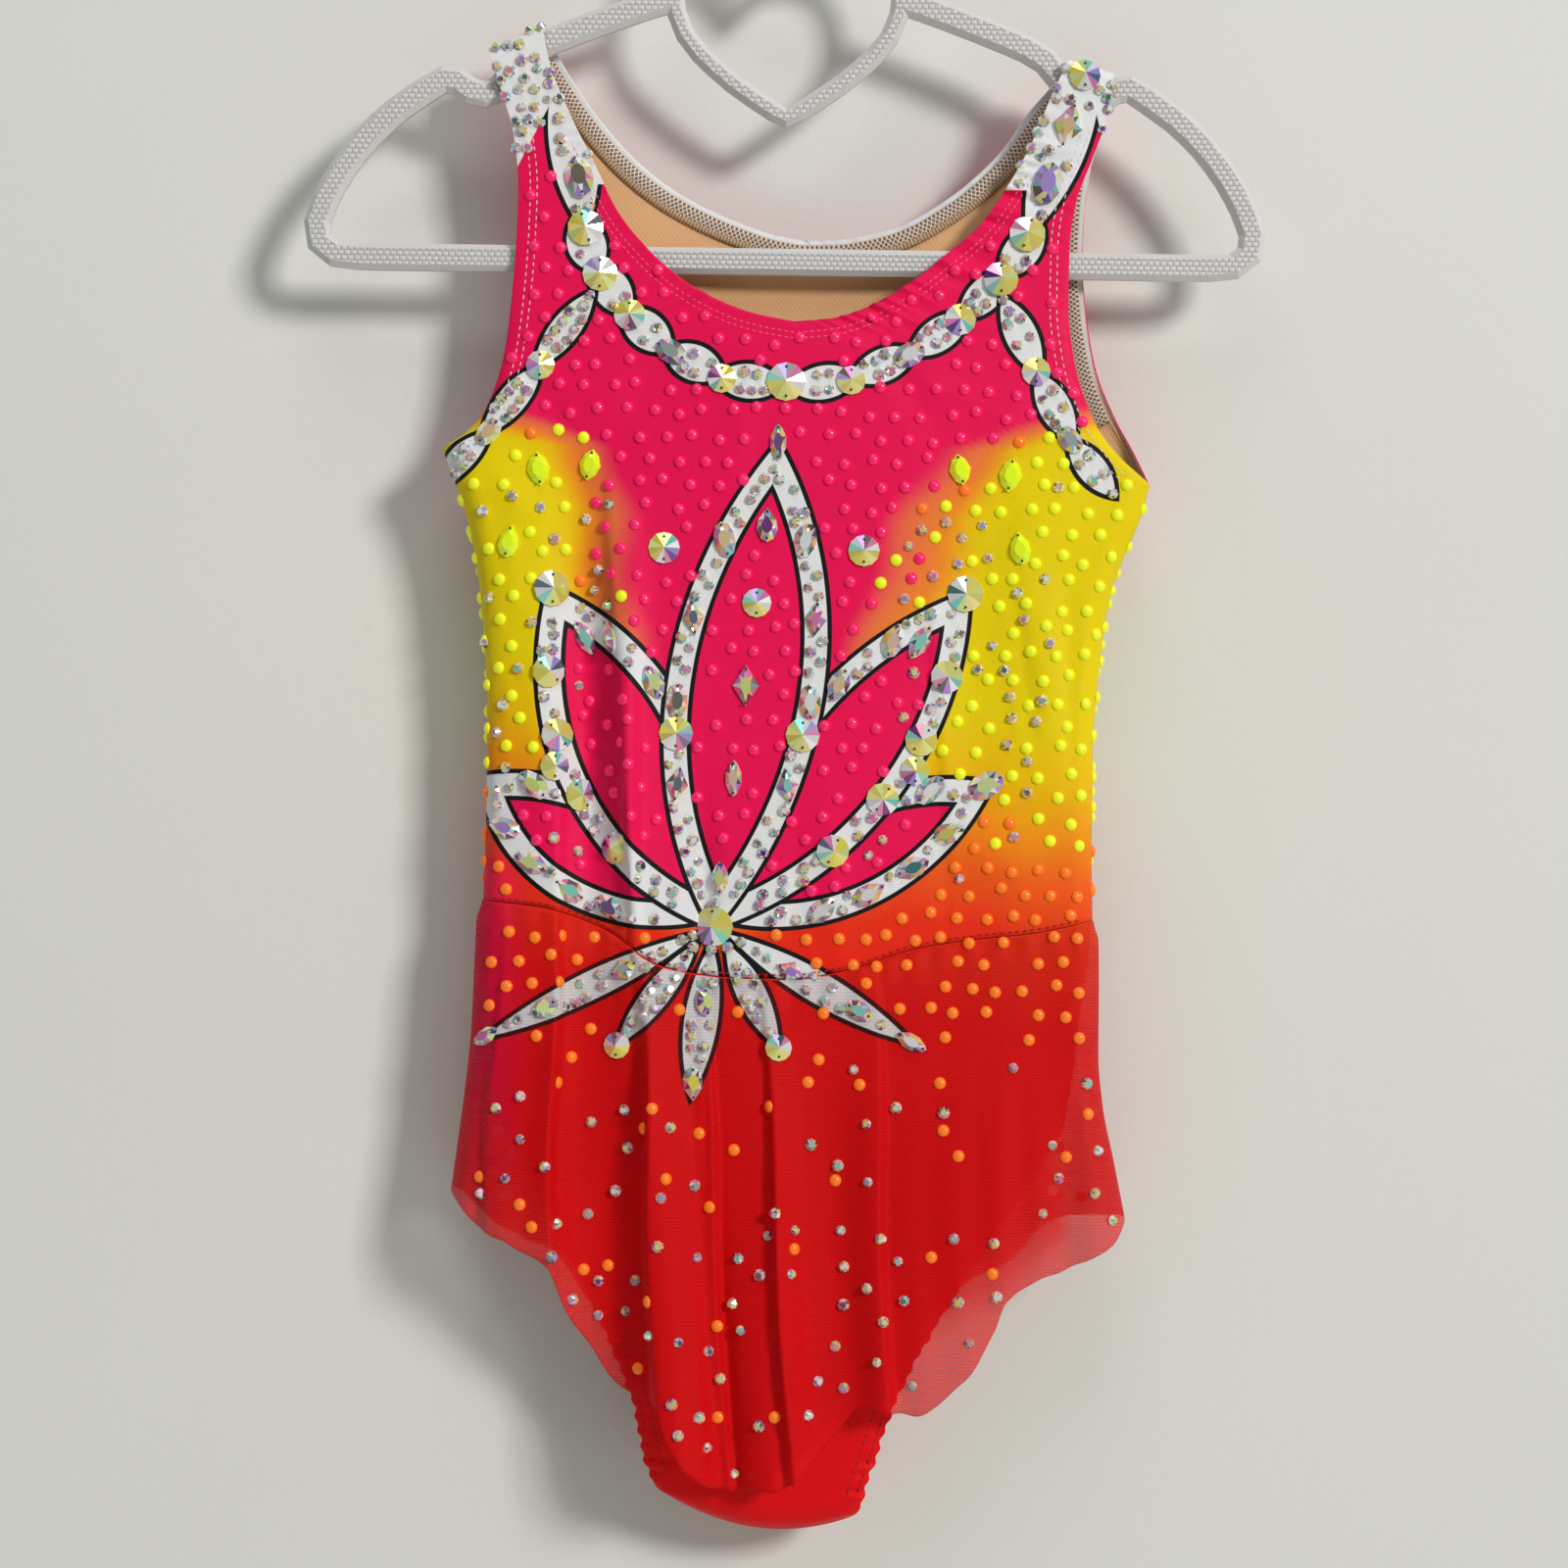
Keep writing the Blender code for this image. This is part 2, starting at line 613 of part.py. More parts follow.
def raise_stones(outer):
    """Lift the outer points nearest to each large stone; the inside stays plain."""
    spots = []
    for fan in (FRONT_LEFT, FRONT_RIGHT):
        for stone in STRAP_STONES:
            at = fan_point(fan, FRONT_DEPTH, FRONT_FOLDS, FRONT, stone.share, stone.across)
            spots.append((at.x, at.z, stone.lift))
    for stone in BODY_STONES:
        centre = NECK_CENTRE_X - CENTRE_LEAN * stone.down
        z = NECK_CENTRE_Z - stone.down
        spots.append((centre + stone.across, z, stone.lift))
        if stone.across > 0.0:
            spots.append((centre - stone.across, z, stone.lift))
    free = [vert for vert in outer if not vert.is_boundary]
    for x, z, lift in spots:
        nearest = min(free, key=lambda vert: (vert.co.x - x) ** 2 + (vert.co.z - z) ** 2)
        nearest.co.y += FRONT * lift
        free.remove(nearest)


def make_bodices(collection):
    """Front and back bodice, and the lining that shows inside the back."""
    front_shares = [(k + 1) / BODY_ROWS for k in range(BODY_ROWS)]
    bm = bodice_sheet(FRONT_LEFT, FRONT_RIGHT, FRONT_DEPTH, FRONT_BODY, FRONT_WAIST, FRONT_FOLDS,
                      FRONT, (LEFT_COLUMNS, RIGHT_COLUMNS), FAN_ROWS, front_shares)
    free = [vert for vert in bm.verts if not vert.is_boundary]
    outer = thicken(bm, BODICE_WALL)
    keep_side(bm, FRONT)
    raise_stones([vert for vert in outer if vert in set(free)])
    finish(bm, "bodice_front", collection)

    back_shares = [(k + 1) / BACK_BODY_ROWS for k in range(BACK_BODY_ROWS)]
    columns = (BACK_COLUMNS, BACK_COLUMNS)
    bm = bodice_sheet(BACK_LEFT, BACK_RIGHT, BACK_DEPTH, BACK_BODY, BACK_WAIST, BACK_FOLDS,
                      BACK, columns, BACK_FAN_ROWS, back_shares)
    thicken(bm, BODICE_WALL)
    keep_side(bm, BACK)
    finish(bm, "bodice_back", collection)

    lining_shares = back_shares[:LINING_ROWS]
    bm = bodice_sheet(BACK_LEFT, BACK_RIGHT, BACK_DEPTH, BACK_BODY, BACK_WAIST, BACK_FOLDS,
                      BACK, columns, LINING_FAN_ROWS, lining_shares,
                      inward=BODICE_WALL + LINING_GAP, inset=LINING_INSET)
    thicken(bm, LINING_WALL)
    keep_side(bm, BACK)
    tree = BVHTree.FromBMesh(bm)
    finish(bm, "back_lining", collection)
    return tree


def lining_point(tree, x, z):
    """Point just inside the lining, clear of its highest spot nearby; None past its edge."""
    ahead = Vector((0.0, 1.0, 0.0))
    if tree.ray_cast(Vector((x, -2.0, z)), ahead)[0] is None:
        return None
    heights = []
    for off_x in (-NEAR_STEP, 0.0, NEAR_STEP):
        for off_z in (-NEAR_STEP, 0.0, NEAR_STEP):
            hit = tree.ray_cast(Vector((x + off_x, -2.0, z + off_z)), ahead)[0]
            if hit is not None:
                heights.append(hit.y)
    return Vector((x, min(heights) - ELASTIC_GAP, z))


def edge_band(tree, line, inner_side):
    """Sheet of elastic lying on the inside of the lining along an edge line."""
    bm = bmesh.new()
    rows = []
    for k, (x, z) in enumerate(line):
        before = line[max(k - 1, 0)]
        after = line[min(k + 1, len(line) - 1)]
        along_x, along_z = after[0] - before[0], after[1] - before[1]
        length = math.hypot(along_x, along_z)
        normal_x, normal_z = -along_z / length * inner_side, along_x / length * inner_side
        row = []
        for share in (0.0, 0.5, 1.0):
            off = mix(ELASTIC_NEAR, ELASTIC_FAR, share)
            row.append(lining_point(tree, x + normal_x * off, z + normal_z * off))
        if all(point is not None for point in row):
            rows.append(row)
    grid_mesh(bm, rows)
    face_out(bm, BACK)
    return bm


def make_elastics(tree, collection):
    """Nude elastic inside the back neckline and inside the back of each armhole."""
    shares = [0.07 + 0.93 * k / 15 for k in range(16)]
    left = [(curve(BACK_LEFT, "neck_x", s), curve(BACK_LEFT, "neck_z", s)) for s in shares]
    right = [(curve(BACK_RIGHT, "neck_x", s), curve(BACK_RIGHT, "neck_z", s)) for s in shares]
    bm = edge_band(tree, left[:-1] + list(reversed(right)), -1.0)
    thicken(bm, ELASTIC_WALL)
    finish(bm, "neck_elastic", collection)
    arm_shares = [0.07 + 0.78 * k / 15 for k in range(16)]
    for fan, side, name in ((BACK_LEFT, 1.0, "armhole_elastic_left"),
                            (BACK_RIGHT, -1.0, "armhole_elastic_right")):
        line = [(curve(fan, "arm_x", s), curve(fan, "arm_z", s)) for s in arm_shares]
        bm = edge_band(tree, line, side)
        thicken(bm, ELASTIC_WALL)
        finish(bm, name, collection)


def flute_lift(flutes, share, x):
    """Outward lift of the skirt's flutes, growing from the waist to the hem."""
    grown = share ** FLUTE_GROWTH
    lift = 0.0
    for flute in flutes:
        centre = mix(flute.waist_x, flute.hem_x, share)
        lift += flute.lift * math.exp(-((x - centre) / flute.width) ** 2)
    return lift * grown


def skirt_point(rows, waist, hem, flutes, folds, face, share, across):
    """Point of a skirt half, by share from waist to hem and share from left to right."""
    left_x, right_x = curve(rows, "left_x", share), curve(rows, "right_x", share)
    x = mix(left_x, right_x, across)
    top = curve(waist, "height", across) - 2.0 * SEAM_GAP
    low = curve(hem, "height", mix(rows[-1].left_x, rows[-1].right_x, across))
    z = mix(top, low, share)
    full = curve(rows, "full", share)
    full += curve(rows, "crown", share) * math.sin(math.pi * across)
    radius = SIDE_ROUND + SKIRT_OUT
    round_share = side_round(min(x - left_x, right_x - x), radius)
    lift = flute_lift(flutes, share, x) + fold_lift(folds, x, z)
    y = mix(0.5 * SEAM_GAP, full, round_share) + lift * round_share
    return Vector((x, face * y, z))


def crowded(rows, flutes, count):
    """Shares across the skirt, closer together at the flutes' centres and at the sides."""
    fine = 600
    left, right = rows[-1].left_x, rows[-1].right_x
    weights = []
    for k in range(fine):
        x = mix(left, right, (k + 0.5) / fine)
        weight = 1.0
        for flute in flutes:
            weight += FLUTE_CROWDING * math.exp(-((x - flute.hem_x) / FLUTE_REACH) ** 2)
        weight += 2.4 * math.exp(-min(x - left, right - x) / 5.0)
        weights.append(weight)
    total = sum(weights)
    shares, run = [0.0], 0.0
    for k, weight in enumerate(weights):
        run += weight
        if run >= total * len(shares) / count and len(shares) < count:
            shares.append((k + 1) / fine)
    return shares + [1.0]


def make_skirts(collection):
    """Front and back of the mesh skirt."""
    jobs = (
        ("skirt_front", FRONT_SKIRT, FRONT_WAIST, FRONT_HEM, FRONT_FLUTES, FRONT_FOLDS, FRONT,
         SKIRT_COLUMNS, SKIRT_ROWS),
        ("skirt_back", BACK_SKIRT, BACK_WAIST, BACK_HEM, BACK_FLUTES, BACK_FOLDS, BACK,
         BACK_SKIRT_COLUMNS, BACK_SKIRT_ROWS),
    )
    for name, rows, waist, hem, flutes, folds, face, columns, count in jobs:
        across = crowded(rows, flutes, columns)
        points = [[skirt_point(rows, waist, hem, flutes, folds, face, k / count, v)
                   for v in across] for k in range(count + 1)]
        bm = bmesh.new()
        grid_mesh(bm, points)
        face_out(bm, face)
        thicken(bm, SKIRT_WALL)
        keep_side(bm, face)
        finish(bm, name, collection)


def brief_point(waist, folds, face, share, across):
    """Point of a brief half, by share from waist to crotch and share from left to right."""
    left_x, right_x = curve(FRONT_BRIEF, "left_x", share), curve(FRONT_BRIEF, "right_x", share)
    x = mix(left_x, right_x, across)
    straight = mix(curve(FRONT_BRIEF, "left_z", share), curve(FRONT_BRIEF, "right_z", share),
                   across)
    seam = curve(waist, "height", across) - SEAM_GAP
    flat_seam = mix(FRONT_BRIEF[0].left_z, FRONT_BRIEF[0].right_z, across)
    fade = max(1.0 - share / BRIEF_WAIST_FADE, 0.0)
    z = straight + (seam - flat_seam) * fade
    z += curve(FRONT_BRIEF, "sag", share) * math.sin(math.pi * across) ** 0.8
    edge = curve(FRONT_BRIEF, "edge", share)
    extra = 0.0 if face < 0.0 else 0.4 * fade
    full = curve(FRONT_BRIEF, "full", share) + extra
    crown = curve(FRONT_BRIEF, "crown", share)
    if face > 0.0:
        crown -= 0.8 * fade
    full += crown * math.sin(math.pi * across)
    round_share = side_round(min(x - left_x, right_x - x), SIDE_ROUND)
    lift = fold_lift(folds, x, z) * (1.0 if share < 0.9 else 10.0 * (1.0 - share))
    y = mix(edge, full, round_share) + lift * round_share
    return Vector((x, face * y, z))


def make_briefs(collection):
    """Front and back of the brief, and the elastic inside each leg opening."""
    for name, waist, folds, face, fans, columns in (
            ("brief_front", FRONT_WAIST, FRONT_FOLDS, FRONT, (FRONT_LEFT, FRONT_RIGHT),
             (LEFT_COLUMNS, RIGHT_COLUMNS)),
            ("brief_back", BACK_WAIST, BACK_FOLDS, BACK, (BACK_LEFT, BACK_RIGHT),
             (BACK_COLUMNS, BACK_COLUMNS))):
        across = body_shares_across(fans[0], fans[1], columns)
        points = [[brief_point(waist, folds, face, s, v) for v in across] for s in BRIEF_ROWS]
        bm = bmesh.new()
        grid_mesh(bm, points)
        face_out(bm, face)
        thicken(bm, BRIEF_WALL)
        keep_side(bm, face)
        finish(bm, name, collection)

    inward = BRIEF_WALL + ELASTIC_GAP
    for name, left in (("leg_elastic_left", True), ("leg_elastic_right", False)):
        rows = []
        path = [(FRONT_WAIST, FRONT_FOLDS, FRONT, s) for s in LEG_ROWS]
        path += [(BACK_WAIST, BACK_FOLDS, BACK, s) for s in reversed(LEG_ROWS)]
        for waist, folds, face, share in path:
            span = curve(FRONT_BRIEF, "right_x", share) - curve(FRONT_BRIEF, "left_x", share)
            row = []
            for distance in (0.6, 0.5 * LEG_ELASTIC_FAR, LEG_ELASTIC_FAR):
                at = distance / span if left else 1.0 - distance / span
                step = 0.004
                centre = brief_point(waist, folds, face, share, at)
                down = (brief_point(waist, folds, face, share + step, at)
                        - brief_point(waist, folds, face, share - step, at))
                side = step if left else -step
                over = brief_point(waist, folds, face, share, at + side) - centre
                normal = over.cross(down).normalized()
                if normal.y * face < 0.0:
                    normal = -normal
                row.append(centre - normal * inward)
            rows.append(row)
        bm = bmesh.new()
        grid_mesh(bm, rows)
        bm.normal_update()
        front_faces = [f for f in bm.faces if f.calc_center_median().y < 0.0]
        if sum(f.normal.y for f in front_faces) > 0.0:
            bmesh.ops.reverse_faces(bm, faces=bm.faces[:])
        thicken(bm, ELASTIC_WALL)
        finish(bm, name, collection)


def smooth_path(points, step, closed):
    """Evenly drawn path through a few points."""
    count = len(points)
    spans = count if closed else count - 1
    path = []
    for k in range(spans):
        if closed:
            p0, p1, p2, p3 = (points[(k + i) % count] for i in (-1, 0, 1, 2))
        else:
            p1, p2 = points[k], points[k + 1]
            p0 = points[max(k - 1, 0)]
            p3 = points[min(k + 2, count - 1)]
        pieces = max(1, int(round(math.hypot(p2[0] - p1[0], p2[1] - p1[1]) / step)))
        for i in range(pieces):
            f = i / pieces
            path.append(tuple(
                0.5 * (2.0 * b + (c - a) * f + (2.0 * a - 5.0 * b + 4.0 * c - d) * f * f
                       + (3.0 * b - a - 3.0 * c + d) * f ** 3)
                for a, b, c, d in zip(p0, p1, p2, p3)))
    if not closed:
        path.append(tuple(points[-1]))
    return path


def bar(name, path, width, thick, closed):
    """Rounded flat bar along a path in the hanger's plane."""
    w, t, c = 0.5 * width, 0.5 * thick, BAR_CORNER
    section = ((w - c, -t), (w, -t + c), (w, t - c), (w - c, t),
               (-w + c, t), (-w, t - c), (-w, -t + c), (-w + c, -t))
    bm = bmesh.new()
    rings = []
    count = len(path)
    for k, (x, z) in enumerate(path):
        before = path[(k - 1) % count] if closed else path[max(k - 1, 0)]
        after = path[(k + 1) % count] if closed else path[min(k + 1, count - 1)]
        in_x, in_z = x - before[0], z - before[1]
        out_x, out_z = after[0] - x, after[1] - z
        in_length = math.hypot(in_x, in_z) or 1.0
        out_length = math.hypot(out_x, out_z) or 1.0
        along_x = in_x / in_length + out_x / out_length
        along_z = in_z / in_length + out_z / out_length
        length = math.hypot(along_x, along_z)
        normal_x, normal_z = -along_z / length, along_x / length
        rings.append([bm.verts.new((x + normal_x * a, y, z + normal_z * a)) for a, y in section])
    pairs = list(zip(rings, rings[1:])) + ([(rings[-1], rings[0])] if closed else [])
    for first, second in pairs:
        for k in range(len(section)):
            n = (k + 1) % len(section)
            bm.faces.new((first[k], first[n], second[n], second[k]))
    if not closed:
        bm.faces.new(rings[0])
        bm.faces.new(list(reversed(rings[-1])))
    bmesh.ops.recalc_face_normals(bm, faces=bm.faces[:])
    mesh = bpy.data.meshes.new(name)
    bm.to_mesh(mesh)
    bm.free()
    return bpy.data.objects.new(name, mesh)


def make_hanger(collection, cutters):
    """Hanger: bar frame with strap notches, heart and hook, joined into one moulding."""
    right = [(line.x, line.z) for line in ARM_LINE]
    left = [(-x, z) for x, z in reversed(right[:-1])]
    frame = bar("hanger_frame", smooth_path(right + left, 9.0, False), BAR_WIDTH, BAR_THICK, False)
    half = [(line.x, line.z) for line in HEART_LINE]
    loop = half + [(-x, z) for x, z in reversed(half[1:-1])]
    heart = bar("hanger_heart", smooth_path(loop, 8.0, True), HEART_WIDTH, BAR_THICK - 0.4, True)
    stem = [(0.0, HOOK_STEM_LOW), (0.0, HOOK_STEM_TOP)]
    turns = 16
    ring = []
    for k in range(turns + 1):
        angle = math.radians(mix(HOOK_JOIN_DEGREES, HOOK_END_DEGREES, k / turns))
        ring.append((HOOK_RADIUS * math.cos(angle), HOOK_CENTRE_Z + HOOK_RADIUS * math.sin(angle)))
    hook = bar("hanger_hook", smooth_path(stem + ring, 5.0, False), HOOK_WIDTH,
               BAR_THICK - 0.8, False)
    for extra in (heart, hook):
        cutters.objects.link(extra)
        extra.hide_render = True
        extra.display_type = "WIRE"
    bm = bmesh.new()
    bm.from_mesh(frame.data)
    bpy.data.objects.remove(frame, do_unlink=True)
    hanger = finish(bm, "hanger", collection)
    for extra in (heart, hook):
        for vert in extra.data.vertices:
            vert.co *= MM
        join = hanger.modifiers.new("join " + extra.name, "BOOLEAN")
        join.operation = "UNION"
        join.solver = "EXACT"
        join.object = extra


def main():
    """Build every piece."""
    clear_scene()
    collection = bpy.data.collections.new("leotard_on_hanger")
    cutters = bpy.data.collections.new("cutters")
    bpy.context.scene.collection.children.link(collection)
    bpy.context.scene.collection.children.link(cutters)
    tree = make_bodices(collection)
    make_elastics(tree, collection)
    make_skirts(collection)
    make_briefs(collection)
    make_hanger(collection, cutters)


main()
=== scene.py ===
"""Looks of a rhythmic gymnastics leotard hung on a heart-shaped hanger.

Cloth shells follow the solids' sections, in millimetres, with finer creases. The print,
the domes and stones, the stitching, the hanger's studs with painted shade between them
and the light are made here.
"""
import logging
import math
import random
from collections import namedtuple
from collections.abc import Callable, Iterable, Sequence
from dataclasses import dataclass, field
from enum import Enum

import bmesh
import bpy
import numpy as np
from mathutils import Matrix, Vector
from mathutils.bvhtree import BVHTree


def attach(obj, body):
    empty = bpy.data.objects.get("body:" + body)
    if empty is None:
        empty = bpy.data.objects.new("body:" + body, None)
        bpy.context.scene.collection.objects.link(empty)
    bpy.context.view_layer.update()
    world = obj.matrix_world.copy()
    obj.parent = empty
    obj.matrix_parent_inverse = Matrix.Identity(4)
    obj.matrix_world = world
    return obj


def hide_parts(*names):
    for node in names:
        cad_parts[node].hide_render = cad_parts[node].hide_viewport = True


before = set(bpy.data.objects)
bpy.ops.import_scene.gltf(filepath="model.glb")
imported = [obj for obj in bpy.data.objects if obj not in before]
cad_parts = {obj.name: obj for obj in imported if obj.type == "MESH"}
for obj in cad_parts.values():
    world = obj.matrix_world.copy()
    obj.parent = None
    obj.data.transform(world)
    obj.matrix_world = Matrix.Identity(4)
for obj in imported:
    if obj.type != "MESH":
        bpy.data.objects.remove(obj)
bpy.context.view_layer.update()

LOG = logging.getLogger("leotard")
MM = 0.001
SEAM_GAP = 0.3
SIDE_ROUND = 9.0
SKIRT_OUT = 1.7
KNIT_WALL = 0.6
NET_WALL = 0.35
ELASTIC_WALL = 0.7
ELASTIC_ACROSS = (0.0, 0.06, 0.2, 0.4, 0.6, 0.66, 0.74, 0.88, 0.96, 1.0)
ELASTIC_SINK = (0.5, 0.1, 0.0, 0.0, 0.1, 0.25, -0.1, -0.1, 0.1, 0.5)
SCATTER_SEED = 41
NECK_CENTRE = (4.5, -221.5)
CENTRE_LEAN = 0.119

Fan = namedtuple("Fan", "share arm_x arm_z neck_x neck_z")
Depth = namedtuple("Depth", "share arm full crown")
Body = namedtuple("Body", "share left_x right_x full crown")
Seam = namedtuple("Seam", "share height")
Fold = namedtuple("Fold", "top_x top_z low_x low_z width lift")
Step = namedtuple("Step", "top_x top_z low_x low_z rise reach")
Hem = namedtuple("Hem", "x height")
Flute = namedtuple("Flute", "waist_x hem_x width lift")
Pleat = namedtuple("Pleat", "waist_x hem_x rise reach")
Brief = namedtuple("Brief", "share left_x left_z right_x right_z edge full crown sag")
Leaf = namedtuple("Leaf", "across down angle length half filled")
Stone = namedtuple("Stone", "across down cut wide long turn")
Stop = namedtuple("Stop", "height red green blue")
Reach = namedtuple("Reach", "down half")
Place = tuple[float, float]
Tone = tuple[float, float, float]
Spot = tuple[Vector, Vector]
Values = float | np.ndarray
Socket = bpy.types.NodeSocket
Input = Socket | float | tuple
Colouring = Callable[[np.ndarray, np.ndarray], np.ndarray]


class Side(Enum):
    """Which way a panel faces."""

    FRONT = -1.0
    BACK = 1.0


class Cut(Enum):
    """Outline of a stone."""

    ROUND = "round"
    OVAL = "oval"
    NAVETTE = "navette"
    DROP = "drop"
    RHOMBUS = "rhombus"
    BLOCK = "block"


FRONT_LEFT = (
    Fan(0.00, -123.9, -108.3, -101.8, -98.7),
    Fan(0.12, -117.5, -128.0, -97.3, -117.5),
    Fan(0.25, -112.3, -146.0, -88.5, -138.0),
    Fan(0.38, -110.1, -168.0, -78.5, -157.5),
    Fan(0.50, -110.7, -190.0, -69.5, -175.5),
    Fan(0.62, -112.3, -213.0, -58.5, -189.5),
    Fan(0.74, -115.2, -236.0, -45.0, -202.0),
    Fan(0.86, -122.5, -258.0, -27.0, -212.8),
    Fan(0.93, -130.5, -267.8, -12.0, -218.3),
    Fan(1.00, -140.6, -274.8, 4.5, -221.5),
)
FRONT_RIGHT = (
    Fan(0.00, 135.5, -115.0, 116.8, -109.6),
    Fan(0.12, 131.9, -136.0, 109.3, -126.0),
    Fan(0.25, 126.5, -152.0, 101.0, -146.5),
    Fan(0.38, 119.9, -171.0, 91.5, -164.0),
    Fan(0.50, 117.6, -190.0, 80.5, -180.0),
    Fan(0.62, 117.5, -213.0, 67.0, -192.2),
    Fan(0.74, 120.3, -235.5, 51.5, -204.6),
    Fan(0.86, 128.5, -259.0, 33.5, -215.3),
    Fan(0.93, 137.5, -272.0, 19.5, -219.9),
    Fan(1.00, 152.8, -285.7, 4.5, -221.5),
)
BACK_LEFT = (
    Fan(0.00, -123.9, -108.3, -101.8, -98.7),
    Fan(0.12, -117.0, -128.0, -93.0, -113.5),
    Fan(0.25, -111.5, -147.0, -84.5, -126.5),
    Fan(0.38, -109.3, -168.0, -74.0, -140.0),
    Fan(0.50, -109.5, -190.0, -61.5, -153.0),
    Fan(0.62, -111.5, -213.0, -47.0, -164.0),
    Fan(0.74, -114.7, -236.0, -30.5, -172.8),
    Fan(0.86, -122.0, -258.0, -14.0, -179.2),
    Fan(0.93, -130.0, -267.5, -3.5, -182.3),
    Fan(1.00, -140.6, -274.8, 8.0, -184.2),
)
BACK_RIGHT = (
    Fan(0.00, 135.5, -115.0, 116.8, -109.6),
    Fan(0.12, 132.5, -134.0, 110.0, -119.5),
    Fan(0.25, 127.5, -153.0, 101.5, -129.5),
    Fan(0.38, 125.0, -172.5, 90.5, -145.5),
    Fan(0.50, 124.4, -191.5, 77.5, -158.8),
    Fan(0.62, 126.0, -212.0, 63.0, -169.7),
    Fan(0.74, 130.3, -236.0, 46.5, -178.6),
    Fan(0.86, 139.0, -258.0, 30.5, -182.7),
    Fan(0.93, 146.0, -271.0, 20.0, -184.0),
    Fan(1.00, 152.8, -285.7, 8.0, -184.2),
)
FRONT_DEPTH = (
    Depth(0.000, 0.15, 0.15, 0.0),
    Depth(0.006, 3.30, 3.30, 0.0),
    Depth(0.013, 4.60, 4.60, 0.0),
    Depth(0.025, 5.80, 5.80, 0.0),
    Depth(0.050, 6.60, 6.60, 0.0),
    Depth(0.150, 6.80, 7.00, 0.0),
    Depth(0.500, 6.80, 7.40, 0.3),
    Depth(0.740, 6.00, 8.60, 1.0),
    Depth(0.860, 4.60, 9.20, 1.6),
    Depth(0.930, 3.00, 9.60, 2.0),
    Depth(1.000, 0.15, 10.00, 2.4),
)
BACK_DEPTH = (
    Depth(0.000, 0.15, 0.15, 0.0),
    Depth(0.006, 3.60, 3.60, 0.0),
    Depth(0.013, 5.20, 5.20, 0.0),
    Depth(0.025, 7.00, 7.00, 0.0),
    Depth(0.050, 8.20, 8.20, 0.0),
    Depth(0.150, 8.80, 8.80, 0.0),
    Depth(0.500, 8.60, 9.00, 0.2),
    Depth(0.740, 8.00, 9.60, 0.6),
    Depth(0.860, 6.40, 10.00, 1.0),
    Depth(0.930, 4.00, 10.40, 1.4),
    Depth(1.000, 0.15, 10.80, 1.8),
)
FRONT_BODY = (
    Body(0.00, -140.6, 152.8, 10.0, 2.4),
    Body(0.08, -134.8, 149.0, 10.2, 2.8),
    Body(0.16, -129.8, 143.0, 10.4, 3.2),
    Body(0.26, -125.8, 137.0, 10.6, 3.6),
    Body(0.40, -122.6, 133.4, 10.6, 3.8),
    Body(0.62, -120.4, 130.8, 10.6, 3.6),
    Body(0.82, -120.4, 130.8, 10.4, 3.0),
    Body(1.00, -121.2, 131.6, 10.2, 2.6),
)
BACK_BODY = (
    Body(0.00, -140.6, 152.8, 10.8, 1.8),
    Body(0.08, -134.8, 149.0, 11.0, 2.0),
    Body(0.16, -129.8, 143.0, 11.0, 2.2),
    Body(0.26, -125.8, 137.0, 11.0, 2.4),
    Body(0.40, -122.6, 133.4, 11.0, 2.4),
    Body(0.62, -120.4, 130.8, 11.0, 2.2),
    Body(0.82, -120.4, 130.8, 10.8, 2.0),
    Body(1.00, -121.2, 131.6, 10.6, 1.8),
)
FRONT_WAIST = (
    Seam(0.0, -461.0),
    Seam(0.1, -463.5),
    Seam(0.2, -472.0),
    Seam(0.3, -487.0),
    Seam(0.4, -491.0),
    Seam(0.5, -491.5),
    Seam(0.6, -487.5),
    Seam(0.7, -479.0),
    Seam(0.8, -474.5),
    Seam(0.9, -471.5),
    Seam(1.0, -466.0),
)
BACK_WAIST = (Seam(0.0, -461.0), Seam(0.5, -470.0), Seam(1.0, -466.0))

